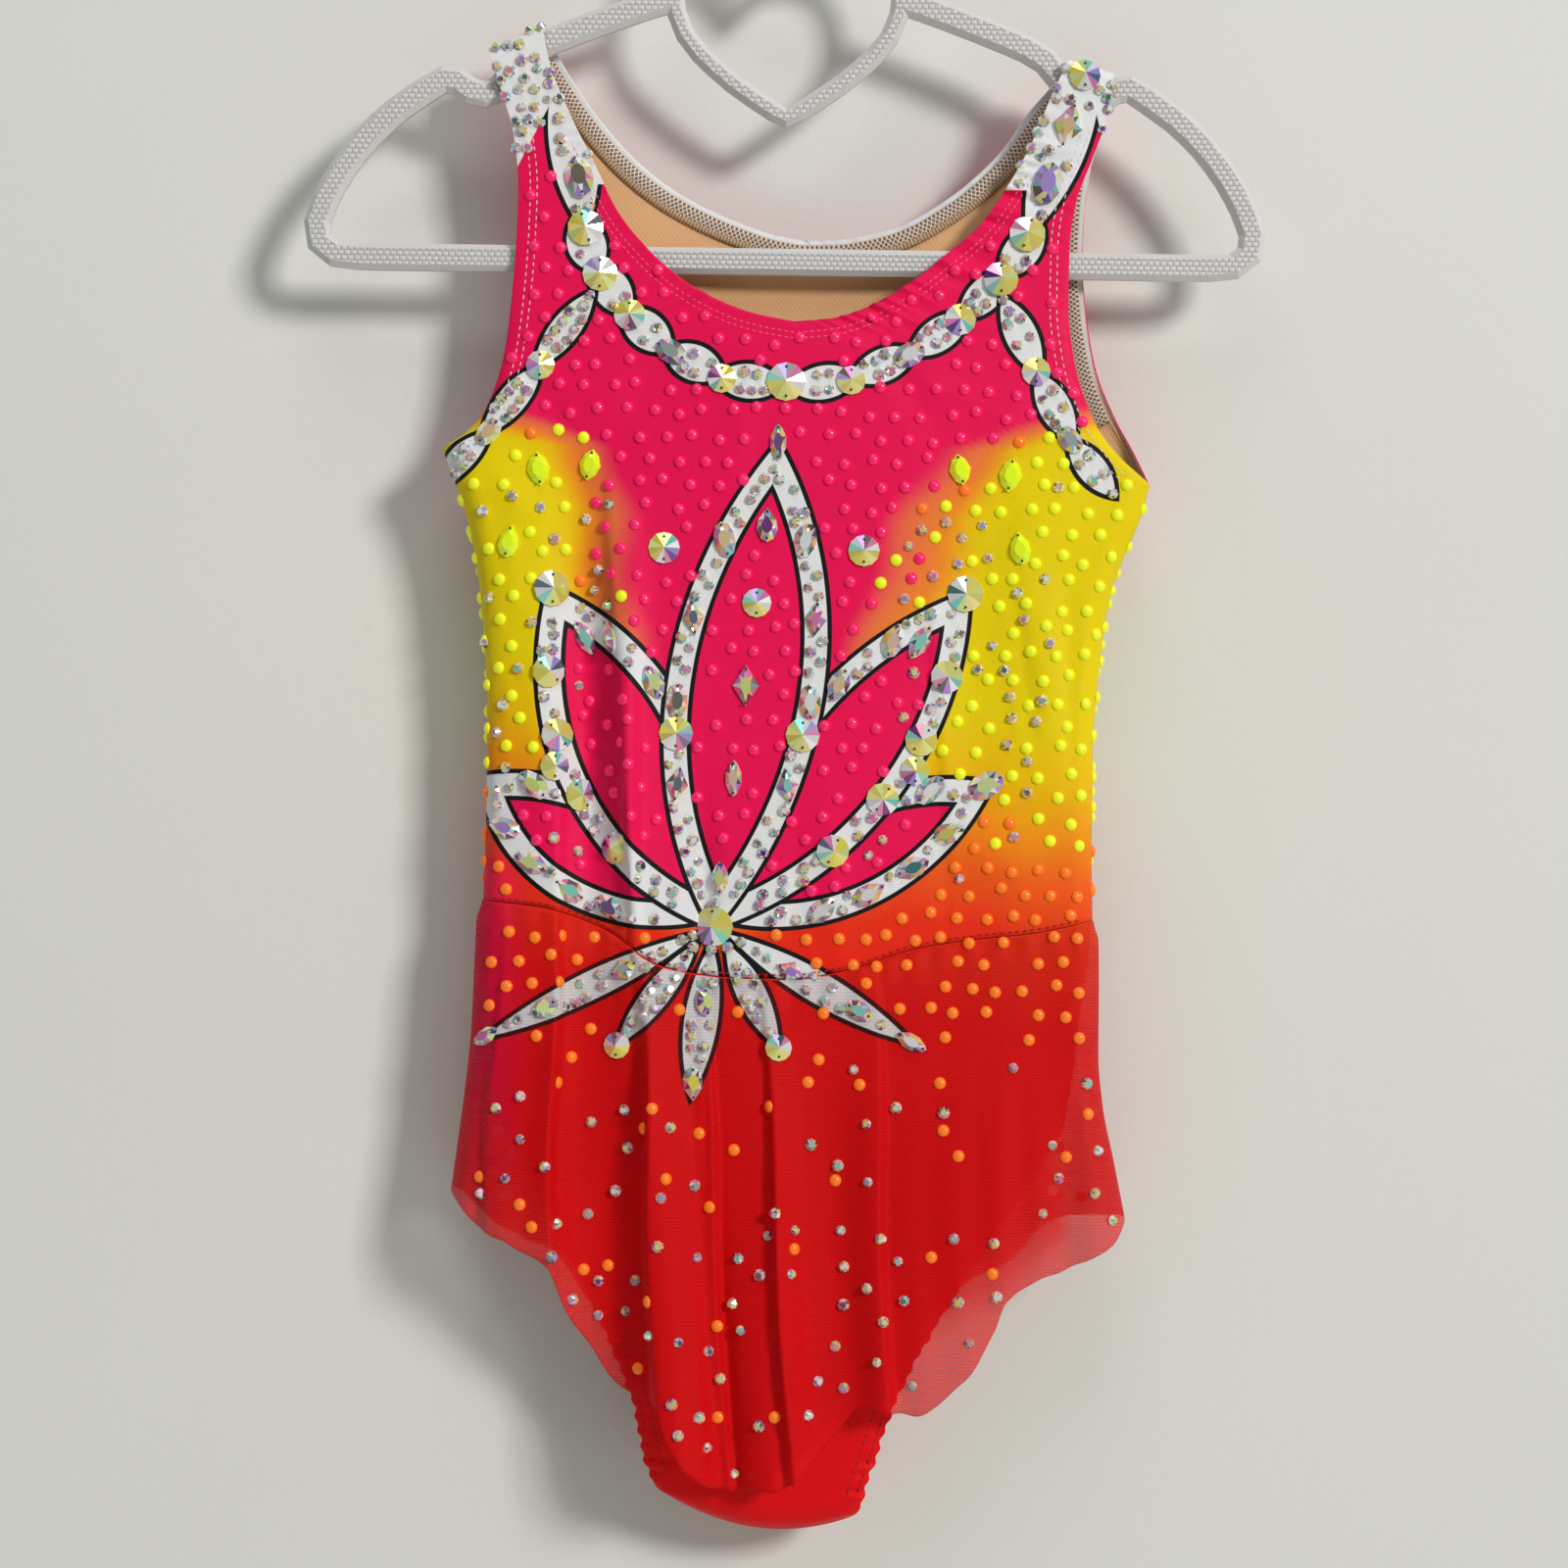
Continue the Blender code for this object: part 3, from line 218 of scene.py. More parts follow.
# The solids' largest folds first, then finer creases
FRONT_FOLDS = (
    Fold(-99.0, -318.0, -96.0, -430.0, 10.0, 2.6),
    Fold(-80.0, -300.0, -75.0, -480.0, 8.0, -3.6),
    Fold(-62.0, -325.0, -60.0, -505.0, 7.5, 4.2),
    Fold(-31.0, -425.0, -33.0, -540.0, 6.5, -2.8),
    Fold(101.0, -318.0, 113.0, -392.0, 11.0, 1.8),
    Fold(70.0, -425.0, 122.0, -470.0, 10.0, 1.4),
    Fold(-40.0, -236.0, -66.0, -262.0, 9.0, -1.2),
)
FRONT_CREASES = (
    Fold(-88.0, -292.0, -76.0, -455.0, 13.0, -3.2),
    Fold(80.0, -296.0, 74.0, -465.0, 20.0, -2.8),
    Fold(-66.5, -330.0, -65.0, -500.0, 3.0, -1.5),
    Fold(-56.0, -350.0, -54.0, -500.0, 3.2, -1.3),
    Fold(-29.0, -440.0, -31.0, -530.0, 2.2, -1.5),
    Fold(-112.0, -300.0, -108.0, -350.0, 5.0, 0.8),
    Fold(-118.0, -330.0, -112.0, -440.0, 3.2, -0.7),
    Fold(118.0, -330.0, 122.0, -420.0, 3.6, -0.9),
    Fold(96.0, -330.0, 106.0, -395.0, 3.6, -0.8),
    Fold(126.0, -430.0, 96.0, -446.0, 3.0, 0.8),
    Fold(127.0, -446.0, 88.0, -459.0, 3.0, -0.8),
    Fold(122.0, -290.0, 96.0, -316.0, 6.0, 0.9),
    Fold(-122.0, -282.0, -100.0, -306.0, 5.0, 0.9),
    Fold(-112.0, -236.0, -92.0, -262.0, 4.0, -0.8),
    Fold(113.0, -240.0, 98.0, -268.0, 4.0, -0.8),
    Fold(40.0, -232.0, 62.0, -262.0, 5.0, -0.8),
    Fold(-14.0, -240.0, -22.0, -300.0, 6.0, 0.6),
    Fold(20.0, -420.0, 26.0, -482.0, 6.0, 0.9),
    Fold(8.0, -430.0, 8.0, -480.0, 4.0, -0.7),
    Fold(-90.0, -395.0, -62.0, -420.0, 4.0, 0.9),
)
BACK_FOLDS = (
    Fold(-60.0, -300.0, -52.0, -480.0, 12.0, 2.4),
    Fold(-20.0, -330.0, -26.0, -500.0, 12.0, -2.6),
    Fold(34.0, -310.0, 30.0, -500.0, 13.0, 2.2),
    Fold(86.0, -330.0, 92.0, -470.0, 12.0, -1.8),
)
BACK_CREASES = (
    Fold(-66.0, -330.0, -60.0, -470.0, 3.4, -0.9),
    Fold(24.0, -340.0, 20.0, -480.0, 3.6, -0.9),
    Fold(70.0, -360.0, 74.0, -460.0, 4.0, 0.8),
    Fold(-100.0, -320.0, -108.0, -420.0, 5.0, -0.8),
    Fold(110.0, -300.0, 100.0, -350.0, 5.0, 0.9),
    Fold(-36.0, -200.0, -60.0, -240.0, 6.0, -0.8),
    Fold(44.0, -200.0, 70.0, -236.0, 6.0, -0.7),
)
FRONT_SKIRT = (
    Body(0.00, -123.6, 134.0, 12.5, 2.6),
    Body(0.20, -124.4, 134.6, 13.8, 3.0),
    Body(0.45, -125.4, 134.8, 15.0, 3.6),
    Body(0.62, -127.2, 136.8, 16.0, 3.8),
    Body(0.82, -130.0, 142.0, 17.0, 3.6),
    Body(1.00, -132.7, 146.6, 17.6, 3.2),
)
BACK_SKIRT = (
    Body(0.00, -123.6, 134.0, 13.0, 1.8),
    Body(0.20, -124.4, 134.6, 13.8, 2.2),
    Body(0.45, -125.4, 134.8, 14.6, 2.6),
    Body(0.62, -127.2, 136.8, 15.4, 2.8),
    Body(0.82, -130.0, 142.0, 16.2, 2.8),
    Body(1.00, -132.7, 146.6, 17.0, 2.6),
)
FRONT_HEM = (
    Hem(-132.7, -581.0),
    Hem(-119.0, -594.0),
    Hem(-99.0, -604.0),
    Hem(-89.0, -611.0),
    Hem(-85.0, -624.0),
    Hem(-75.0, -641.0),
    Hem(-59.0, -660.5),
    Hem(-46.0, -664.0),
    Hem(-41.0, -680.0),
    Hem(-31.0, -692.5),
    Hem(-16.0, -700.0),
    Hem(3.0, -699.5),
    Hem(15.3, -690.6),
    Hem(30.4, -673.3),
    Hem(37.0, -666.0),
    Hem(59.1, -668.0),
    Hem(79.1, -654.0),
    Hem(91.8, -633.7),
    Hem(96.0, -622.0),
    Hem(106.5, -614.8),
    Hem(129.4, -605.2),
    Hem(141.0, -598.0),
    Hem(146.6, -589.6),
)
BACK_HEM = (
    Hem(-132.7, -581.0),
    Hem(-112.0, -600.0),
    Hem(-92.0, -610.0),
    Hem(-70.0, -640.0),
    Hem(-40.0, -672.0),
    Hem(0.0, -690.0),
    Hem(40.0, -674.0),
    Hem(64.0, -648.0),
    Hem(81.5, -621.0),
    Hem(98.7, -611.0),
    Hem(120.0, -592.0),
    Hem(146.6, -589.6),
)
FRONT_FLUTES = (
    Flute(-100.0, -105.0, 17.0, 6.0),
    Flute(-74.0, -68.0, 13.0, -7.0),
    Flute(-52.0, -35.0, 9.5, 8.0),
    Flute(-34.0, -16.5, 7.0, -6.5),
    Flute(-10.0, 2.0, 10.0, 6.5),
    Flute(20.0, 28.0, 12.0, -4.5),
    Flute(74.0, 76.0, 30.0, 6.0),
    Flute(112.0, 120.0, 9.0, -3.0),
)
FRONT_PLEATS = (
    Flute(-88.0, -84.5, 3.4, 1.8),
    Flute(-60.0, -47.0, 3.0, -1.8),
    Flute(-40.0, -25.5, 2.6, 1.8),
    Flute(-31.0, -13.0, 2.6, -1.6),
    Flute(4.0, 13.5, 3.2, 1.4),
    Flute(36.0, 46.0, 5.0, 1.0),
    Flute(-116.0, -121.0, 4.0, -1.2),
    Flute(98.0, 104.0, 5.0, -1.2),
)
BACK_FLUTES = (
    Flute(-84.0, -92.0, 14.0, 5.0),
    Flute(-52.0, -56.0, 12.0, -5.0),
    Flute(-18.0, -22.0, 14.0, 6.0),
    Flute(16.0, 16.0, 12.0, -5.0),
    Flute(52.0, 54.0, 14.0, 6.0),
    Flute(92.0, 100.0, 13.0, -4.0),
)
BACK_PLEATS = (
    Flute(-70.0, -76.0, 3.6, 1.3),
    Flute(-4.0, -6.0, 3.6, -1.2),
    Flute(66.0, 70.0, 4.0, -1.2),
)
BRIEF_ROWS = (
    Brief(0.00, -121.2, -461.3, 131.6, -466.3, 0.15, 10.2, 2.6, 0.0),
    Brief(0.14, -118.4, -500.0, 127.0, -505.0, 0.15, 9.8, 2.2, 0.0),
    Brief(0.28, -115.5, -546.0, 121.0, -551.0, 0.15, 9.4, 2.0, 0.0),
    Brief(0.33, -108.0, -561.0, 112.5, -566.0, 4.20, 9.4, 2.0, 0.0),
    Brief(0.42, -96.0, -586.0, 97.5, -591.0, 6.60, 9.4, 1.8, 0.0),
    Brief(0.54, -79.5, -616.0, 77.5, -620.0, 7.40, 9.4, 1.6, 0.0),
    Brief(0.66, -64.5, -646.0, 61.0, -648.0, 7.60, 9.4, 1.4, 0.0),
    Brief(0.76, -55.5, -669.0, 50.5, -671.0, 7.80, 9.4, 1.2, -1.0),
    Brief(0.86, -51.5, -688.0, 44.0, -691.0, 7.80, 9.2, 1.0, -3.0),
    Brief(0.94, -48.2, -698.0, 39.6, -705.0, 7.40, 8.8, 0.6, -7.0),
    Brief(0.97, -46.4, -702.0, 38.4, -710.5, 5.40, 6.4, 0.2, -9.0),
    Brief(1.00, -44.6, -704.4, 37.2, -713.6, 0.15, 0.15, 0.0, -11.0),
)
BRIEF_WAIST_FADE = 0.28
FLUTE_GROWTH = 1.15

# Sharp edges of folded cloth: positive where the cloth steps out to the right
FRONT_STEPS = (
    Step(-72.0, -300.0, -56.0, -505.0, 6.4, 14.0),
    Step(-88.0, -385.0, -88.0, -510.0, -3.4, 16.0),
    Step(-31.0, -440.0, -28.0, -540.0, -3.4, 10.0),
    Step(60.0, -330.0, 72.0, -450.0, 1.5, 22.0),
)
BACK_STEPS = (
    Step(-24.0, -380.0, -20.0, -500.0, 1.8, 12.0),
    Step(64.0, -400.0, 66.0, -500.0, -1.6, 12.0),
)
FRONT_EDGES = (
    Pleat(-88.0, -88.0, -9.0, 14.0),
    Pleat(-55.0, -48.0, 11.5, 14.0),
    Pleat(-28.5, -14.0, -9.5, 13.0),
    Pleat(-6.0, 9.0, 8.5, 13.0),
    Pleat(42.0, 50.0, -5.0, 20.0),
    Pleat(-112.0, -118.0, 3.0, 8.0),
)
BACK_EDGES = (
    Pleat(-68.0, -74.0, -3.2, 14.0),
    Pleat(-20.0, -22.0, 3.4, 14.0),
    Pleat(14.0, 16.0, -3.2, 14.0),
    Pleat(66.0, 70.0, 3.0, 14.0),
)

# A mirrored fan of petals over a garland of leaves, in millimetres from the centre line
# and down from the neckline. Angles turn from straight up towards the side.
PETALS = (
    Leaf(6.0, 247.0, 60.0, 116.0, 22.0, True),
    Leaf(3.0, 249.0, 31.0, 162.0, 28.0, True),
    Leaf(0.0, 251.0, 0.0, 201.0, 32.0, True),
)
LEAVES = (
    Leaf(1.0, 27.0, 82.0, 29.0, 7.0, False),
    Leaf(26.0, 23.0, 66.6, 28.0, 7.0, False),
    Leaf(49.0, 12.5, 53.6, 28.0, 7.0, False),
    Leaf(68.0, -2.5, 41.0, 27.0, 7.0, False),
    Leaf(83.0, -20.0, 31.4, 26.0, 7.5, False),
    Leaf(91.0, -36.0, 14.5, 78.0, 10.0, False),
    Leaf(84.0, -12.0, 148.0, 38.0, 6.2, False),
    Leaf(102.0, 19.0, 146.0, 35.0, 6.2, False),
    Leaf(119.0, 47.0, 136.0, 32.0, 5.6, False),
    Leaf(0.0, 256.0, 180.0, 62.0, 6.8, False),
    Leaf(6.0, 252.0, 118.0, 92.0, 6.0, False),
    Leaf(6.0, 256.0, 147.0, 50.0, 5.6, False),
)
BAND = 9.2
OUTLINE = 1.9
STRAP_WHITE = -103.0
STRAP_SPREAD = 2.6
STRAP_MIDDLE = 107.0

TIP_STONES = (
    Stone(0.0, 25.0, Cut.ROUND, 16.0, 16.0, 0.0),
    Stone(0.0, 50.0, Cut.NAVETTE, 7.0, 15.0, 0.0),
    Stone(85.0, 111.0, Cut.ROUND, 15.0, 15.0, 0.0),
    Stone(104.0, 189.5, Cut.OVAL, 11.0, 16.0, 60.0),
    Stone(0.0, 249.0, Cut.ROUND, 16.6, 16.6, 0.0),
    Stone(0.0, 229.0, Cut.NAVETTE, 7.0, 14.0, 0.0),
    Stone(0.0, 84.0, Cut.DROP, 9.0, 14.0, 0.0),
    Stone(0.0, 116.0, Cut.ROUND, 12.0, 12.0, 0.0),
    Stone(0.0, 150.0, Cut.RHOMBUS, 11.0, 17.0, 0.0),
    Stone(0.0, 188.0, Cut.NAVETTE, 7.0, 15.0, 0.0),
    Stone(26.0, 170.0, Cut.ROUND, 14.0, 14.0, 0.0),
    Stone(41.0, 94.0, Cut.ROUND, 13.0, 13.0, 0.0),
    Stone(69.0, 131.0, Cut.NAVETTE, 8.0, 16.0, 31.0),
    Stone(74.0, 184.0, Cut.ROUND, 12.0, 12.0, 0.0),
    Stone(26.5, 24.0, Cut.ROUND, 12.0, 12.0, 0.0),
    Stone(49.0, 13.0, Cut.OVAL, 10.0, 14.0, 60.0),
    Stone(68.0, -2.0, Cut.ROUND, 13.0, 13.0, 0.0),
    Stone(82.5, -19.0, Cut.ROUND, 14.5, 14.5, 0.0),
    Stone(91.0, -38.0, Cut.ROUND, 15.0, 15.0, 16.0),
    Stone(96.5, -59.0, Cut.OVAL, 12.0, 18.0, 14.0),
    Stone(102.0, -83.0, Cut.RHOMBUS, 12.0, 19.0, 16.0),
    Stone(106.0, -104.0, Cut.ROUND, 13.0, 13.0, 0.0),
    Stone(102.0, 19.0, Cut.ROUND, 12.0, 12.0, 0.0),
    Stone(119.5, 47.0, Cut.OVAL, 9.0, 13.0, 140.0),
    Stone(0.0, 313.0, Cut.DROP, 9.0, 14.0, 180.0),
    Stone(33.0, 298.0, Cut.ROUND, 11.0, 11.0, 0.0),
    Stone(87.0, 295.0, Cut.NAVETTE, 7.0, 14.0, 118.0),
    Stone(64.0, 282.5, Cut.OVAL, 8.0, 12.0, 118.0),
    Stone(34.0, 267.0, Cut.RHOMBUS, 9.0, 13.0, 118.0),
    Stone(0.0, 280.0, Cut.OVAL, 8.0, 12.0, 0.0),
)
NEON_STONES = (
    Stone(97.0, 62.0, Cut.BLOCK, 9.5, 14.0, 8.0),
    Stone(105.0, 92.0, Cut.DROP, 9.0, 13.5, -10.0),
    Stone(76.0, 60.0, Cut.BLOCK, 9.0, 13.0, -12.0),
)

GROUND = (
    Stop(-372.0, 0.86, 0.67, 0.003),
    Stop(-398.0, 0.89, 0.53, 0.003),
    Stop(-418.0, 0.93, 0.31, 0.007),
    Stop(-438.0, 0.92, 0.12, 0.012),
    Stop(-462.0, 0.88, 0.032, 0.010),
    Stop(-500.0, 0.84, 0.006, 0.008),
    Stop(-560.0, 0.82, 0.004, 0.007),
)
GROUND_TILT = 0.10
MAGENTA = (0.86, 0.006, 0.090)
ORANGE = (0.95, 0.20, 0.010)
WHITE = (0.80, 0.81, 0.82)
NUDE = (0.82, 0.47, 0.235)
BLACK = (0.010, 0.009, 0.010)
MAGENTA_REACH = (
    Reach(-140.0, 200.0),
    Reach(14.0, 200.0),
    Reach(36.0, 132.0),
    Reach(52.0, 78.0),
    Reach(80.0, 66.0),
    Reach(120.0, 58.0),
    Reach(160.0, 44.0),
    Reach(200.0, 30.0),
    Reach(236.0, 12.0),
    Reach(262.0, -16.0),
    Reach(400.0, -60.0),
)
# Facet colours: rainbow coating colours, white facets that are painted glints, and dark facets that
# are painted reflections.
GLINTS = (
    (0.90, 0.76, 0.10),
    (0.76, 0.88, 0.24),
    (0.20, 0.74, 0.64),
    (0.86, 0.20, 0.46),
    (0.42, 0.26, 0.80),
    (0.98, 0.98, 1.00),
    (0.36, 0.36, 0.44),
    (0.05, 0.02, 0.12),
    (1.00, 1.00, 1.00),
    (0.90, 0.60, 0.34),
)
ROUND_GLINTS = (0, 1, 0, 0, 5, 8, 3, 7, 4, 5, 2, 1, 0)


@dataclass(frozen=True)
class ClothFinish:
    """How a cloth takes the light.

    Args:
        roughness: roughness of the face.
        sheen: sheen weight.
        knit: loops a metre.
        knit_depth: depth of the loops, in millimetres.
        cover: share of light that one layer stops.
    """

    roughness: float
    sheen: float
    knit: float
    knit_depth: float
    cover: float = 1.0


@dataclass(frozen=True)
class HardFinish:
    """How a dome, a stone or a thread takes the light.

    Args:
        roughness: roughness of the face.
        metallic: metallic share.
        coat: clear coat weight.
        painted_glow: strength of a painted glow, a constant emission that stands in for
            fluorescence.
    """

    roughness: float
    metallic: float = 0.0
    coat: float = 0.0
    painted_glow: float = 0.0


STRETCH = ClothFinish(roughness=0.50, sheen=0.03, knit=2200.0, knit_depth=0.05)
LINING = ClothFinish(roughness=0.70, sheen=0.10, knit=1500.0, knit_depth=0.08)
NET = ClothFinish(roughness=0.60, sheen=0.03, knit=1500.0, knit_depth=0.06, cover=0.58)
GLASS = HardFinish(roughness=0.10, metallic=0.35, coat=1.0)
# The neon glass and the neon domes carry a painted glow: constant emission, lit or not.
NEON_GLASS = HardFinish(roughness=0.15, coat=1.0, painted_glow=0.15)
NEON_DOME = HardFinish(roughness=0.38, coat=0.25, painted_glow=0.15)
THREAD = HardFinish(roughness=0.65)


def curve(rows: Sequence, column: str, at: float) -> float:
    """Smooth value of one column of a table.

    Args:
        rows: table rows, with the place in their first column.
        column: name of the column to read.
        at: place to read it at.

    Returns:
        The value there, with no overshoot between rows.
    """
    keys = [row[0] for row in rows]
    values = [getattr(row, column) for row in rows]
    at = min(max(at, keys[0]), keys[-1])
    last = len(keys) - 2
    place = 0
    while place < last and at > keys[place + 1]:
        place += 1
    steps = [(values[k + 1] - values[k]) / (keys[k + 1] - keys[k]) for k in range(last + 1)]

    def slope(knot: int) -> float:
        """Slope at a knot, level where the steps turn.

        Args:
            knot: number of the knot.

        Returns:
            The slope there.
        """
        if knot == 0:
            return steps[0]
        if knot > last:
            return steps[last]
        before, after = steps[knot - 1], steps[knot]
        if before * after <= 0.0:
            return 0.0
        return 2.0 * before * after / (before + after)

    span = keys[place + 1] - keys[place]
    f = (at - keys[place]) / span
    rise = f * f * (3.0 - 2.0 * f)
    lead = span * slope(place) * f * (1.0 - f) * (1.0 - f)
    tail = span * slope(place + 1) * f * f * (f - 1.0)
    return values[place] * (1.0 - rise) + values[place + 1] * rise + lead + tail


def curve_all(rows: Sequence, column: str, places: Iterable[float]) -> np.ndarray:
    """Column of a table at many places."""
    return np.array([curve(rows, column, float(at)) for at in places])


def mix(start: Values, end: Values, share: Values) -> Values:
    """Value part of the way from start to end, for numbers and arrays."""
    return start + (end - start) * share


def ease(value: Values) -> Values:
    """Smooth step from 0 to 1, for numbers and arrays."""
    held = np.clip(value, 0.0, 1.0)
    return held * held * (3.0 - 2.0 * held)


def side_round(distance: np.ndarray, radius: float) -> np.ndarray:
    """Share of full depth reached at a distance in from the side seam."""
    share = np.clip(distance / radius, 0.0, 1.0)
    return np.sqrt(1.0 - (1.0 - share) ** 2)


def sharp_edge(distance: np.ndarray, rise: float, reach: float) -> np.ndarray:
    """Ridge with a sharp edge, which rolls away to the right of it, or left if negative."""
    past = distance * math.copysign(1.0, rise)
    return abs(rise) * (0.5 + 0.5 * np.tanh(past / 0.9)) * np.exp(-np.maximum(past, 0.0) / reach)


def fold_lift(folds: Sequence, x: np.ndarray, z: np.ndarray) -> np.ndarray:
    """Outward lift of all the folds and steps at points of the garment.

    Args:
        folds: folds, creases and steps.
        x: X of the points.
        z: Z of the points.

    Returns:
        The lift at each point.
    """
    lift = np.zeros_like(x)
    for fold in folds:
        along_x, along_z = fold.low_x - fold.top_x, fold.low_z - fold.top_z
        length = math.hypot(along_x, along_z)
        share = ((x - fold.top_x) * along_x + (z - fold.top_z) * along_z) / length ** 2
        held = np.clip(share, 0.0, 1.0)
        off_x = x - fold.top_x - along_x * held
        off_z = z - fold.top_z - along_z * held
        fade = np.sin(math.pi * np.clip(0.12 + 0.76 * held, 0.0, 1.0))
        if isinstance(fold, Step):
            past = np.exp(-((off_z / 30.0) ** 2))
            fade = fade * past * ease(share * 4.0 + 0.6)
            lift += fade * sharp_edge(off_x, fold.rise, fold.reach)
        else:
            reach = (off_x ** 2 + (0.35 * off_z) ** 2) / fold.width ** 2
            lift += fold.lift * fade * np.exp(-reach)
    return lift


def pucker(along: Values, depth_in: np.ndarray, reach: float, height: float, seed: float,
           pitch: float = 1.0) -> np.ndarray:
    """Small uneven gathers along an elastic edge.

    Args:
        along: distance along the edge, in millimetres.
        depth_in: distance in from the edge.
        reach: how far in the gathers fade.
        height: largest lift.
        seed: shifts the pattern.
        pitch: stretches the gathers along the edge.

    Returns:
        The lift at each point.
    """
    at = along / pitch
    wave = np.sin(at * 0.92 + seed) + 0.7 * np.sin(at * 1.37 + 2.1 * seed)
    wave = wave + 0.5 * np.sin(at * 0.51 + 0.7 * seed)
    uneven = 0.55 + 0.45 * np.sin(at * 0.083 + seed)
    return height * 0.5 * wave * uneven * np.exp(-((depth_in / reach) ** 2))


def side_spaced(count: int, width: float) -> np.ndarray:
    """Shares across a half panel, close together where the side is rounded.

    Args:
        count: number of points.
        width: width of the half panel, in millimetres.

    Returns:
        The shares, from 0 at the side to 1.
    """
    near = [d / width for d in (0.0, 0.35, 0.9, 1.7, 2.8, 4.2, 6.2, 8.6)]
    rest = count - len(near)
    return np.array(near + [mix(near[-1], 1.0, (k + 1) / rest) for k in range(rest)])


def design_place(x: Values, z: Values) -> tuple[Values, Values]:
    """Place in the print: across from the leaning centre line, and down from the neck."""
    down = NECK_CENTRE[1] - z
    return x - (NECK_CENTRE[0] - CENTRE_LEAN * down), down


def design_point(across: float, down: float) -> Place:
    """X and Z of a place in the print."""
    return NECK_CENTRE[0] - CENTRE_LEAN * down + across, NECK_CENTRE[1] - down


def leaf_axes(leaf: Leaf) -> tuple[Place, Place]:
    """Directions along and across a leaf, in the print.

    Args:
        leaf: the leaf or petal.

    Returns:
        Both directions.
    """
    turn = math.radians(leaf.angle)
    along = (math.sin(turn), -math.cos(turn))
    return along, (-along[1], along[0])


def leaf_arcs(leaf: Leaf) -> tuple[Place, Place, float]:
    """Centres of the two arcs that bound a leaf, and their radius.

    Args:
        leaf: the leaf or petal.

    Returns:
        Both centres, then the radius.
    """
    along, normal = leaf_axes(leaf)
    half_length = 0.5 * leaf.length
    radius = (half_length ** 2 + leaf.half ** 2) / (2.0 * leaf.half)
    centre = (leaf.across + along[0] * half_length, leaf.down + along[1] * half_length)
    off = radius - leaf.half
    first = (centre[0] + normal[0] * off, centre[1] + normal[1] * off)
    second = (centre[0] - normal[0] * off, centre[1] - normal[1] * off)
    return first, second, radius


def leaf_distance(leaf: Leaf, across: float, down: float) -> float:
    """Distance outside a leaf's edge, negative inside, for both mirrored halves.

    Args:
        leaf: the leaf or petal.
        across: place across the print.
        down: place down it.

    Returns:
        The distance, in millimetres.
    """
    first, second, radius = leaf_arcs(leaf)
    place = (abs(across), down)
    return max(math.dist(place, first), math.dist(place, second)) - radius


def leaf_point(leaf: Leaf, share: float, off: float) -> Place:
    """Place on a leaf, a share of the way along it and off its middle line.

    Args:
        leaf: the leaf or petal.
        share: share of its length.
        off: distance off its middle line.

    Returns:
        The place.
    """
    along, normal = leaf_axes(leaf)
    at = leaf.length * share
    return (leaf.across + along[0] * at + normal[0] * off,
            leaf.down + along[1] * at + normal[1] * off)


def leaf_bow(leaf: Leaf, share: float) -> float:
    """Half width of a leaf, a share of the way along it."""
    radius = leaf_arcs(leaf)[2]
    return math.sqrt(radius ** 2 - (leaf.length * (share - 0.5)) ** 2) - radius + leaf.half


def strap_white(across: float, down: float) -> float:
    """How far inside the white strap top a place of the print is."""
    return STRAP_WHITE + STRAP_SPREAD * abs(abs(across) - STRAP_MIDDLE) - down


def in_white(across: float, down: float) -> bool:
    """True where the print is white or close to it.

    Args:
        across: place across the print.
        down: place down it.

    Returns:
        True if it is.
    """
    if strap_white(across, down) > -2.0 and down < -56.0:
        return True
    if any(leaf_distance(leaf, across, down) < 1.6 for leaf in LEAVES):
        return True
    for petal in reversed(PETALS):
        distance = leaf_distance(petal, across, down)
        if distance < 2.0:
            return distance > -BAND - 2.2
    return False


def magenta_share(x: np.ndarray, z: np.ndarray) -> np.ndarray:
    """Share of the magenta spray over the ground at points of the front.

    Args:
        x: X of the points.
        z: Z of the points.

    Returns:
        The share, about 0 at the edge of the spray.
    """
    across, down = design_place(x, z)
    half = np.interp(down, [r.down for r in MAGENTA_REACH], [r.half for r in MAGENTA_REACH])
    wander = 3.0 * np.sin(x * 0.09 + 1.0) + 2.5 * np.sin(z * 0.13)
    return (half - np.abs(across) + wander) / 16.0


def sprayed(level: np.ndarray, share: np.ndarray) -> np.ndarray:
    """Sprayed colours: stops down the garment, then orange and magenta over them.

    Args:
        level: height of each point, tilted and wavy.
        share: share of magenta, about 0 at the edge of the spray.

    Returns:
        Linear red, green and blue of each point.
    """
    heights = [-stop.height for stop in GROUND]
    colour = np.stack([np.interp(-level, heights, [getattr(s, c) for s in GROUND])
                       for c in ("red", "green", "blue")], axis=-1)
    fringe = np.exp(-((share + 0.35) / 0.75) ** 2)[..., None] * 0.75
    colour = colour * (1.0 - fringe) + np.array(ORANGE) * fringe
    over = ease(share * 0.5 + 0.5)[..., None]
    return colour * (1.0 - over) + np.array(MAGENTA) * over


def front_colour(x: np.ndarray, z: np.ndarray) -> np.ndarray:
    """Ground of the front: magenta above, yellow sides, orange, then red.

    Args:
        x: X of the points.
        z: Z of the points.

    Returns:
        Linear red, green and blue of each point.
    """
    level = z + GROUND_TILT * x + 2.5 * np.sin(x * 0.07) + 1.5 * np.sin(x * 0.19 + 1.0)
    colour = sprayed(level, magenta_share(x, z))
    blush = ease((-x - 98.0) / 18.0) * ease((-430.0 - z) / 25.0) * ease((z + 600.0) / 90.0)
    return mix(colour, np.array(MAGENTA), 0.6 * blush[..., None])


def back_colour(x: np.ndarray, z: np.ndarray) -> np.ndarray:
    """Ground of the back: magenta shoulders, yellow waist, red below."""
    level = z + GROUND_TILT * x + 2.5 * np.sin(x * 0.06 + 2.0) - 8.0
    return sprayed(level, (z + 296.0 + 3.0 * np.sin(x * 0.08) + 0.1 * np.abs(x)) / 22.0)


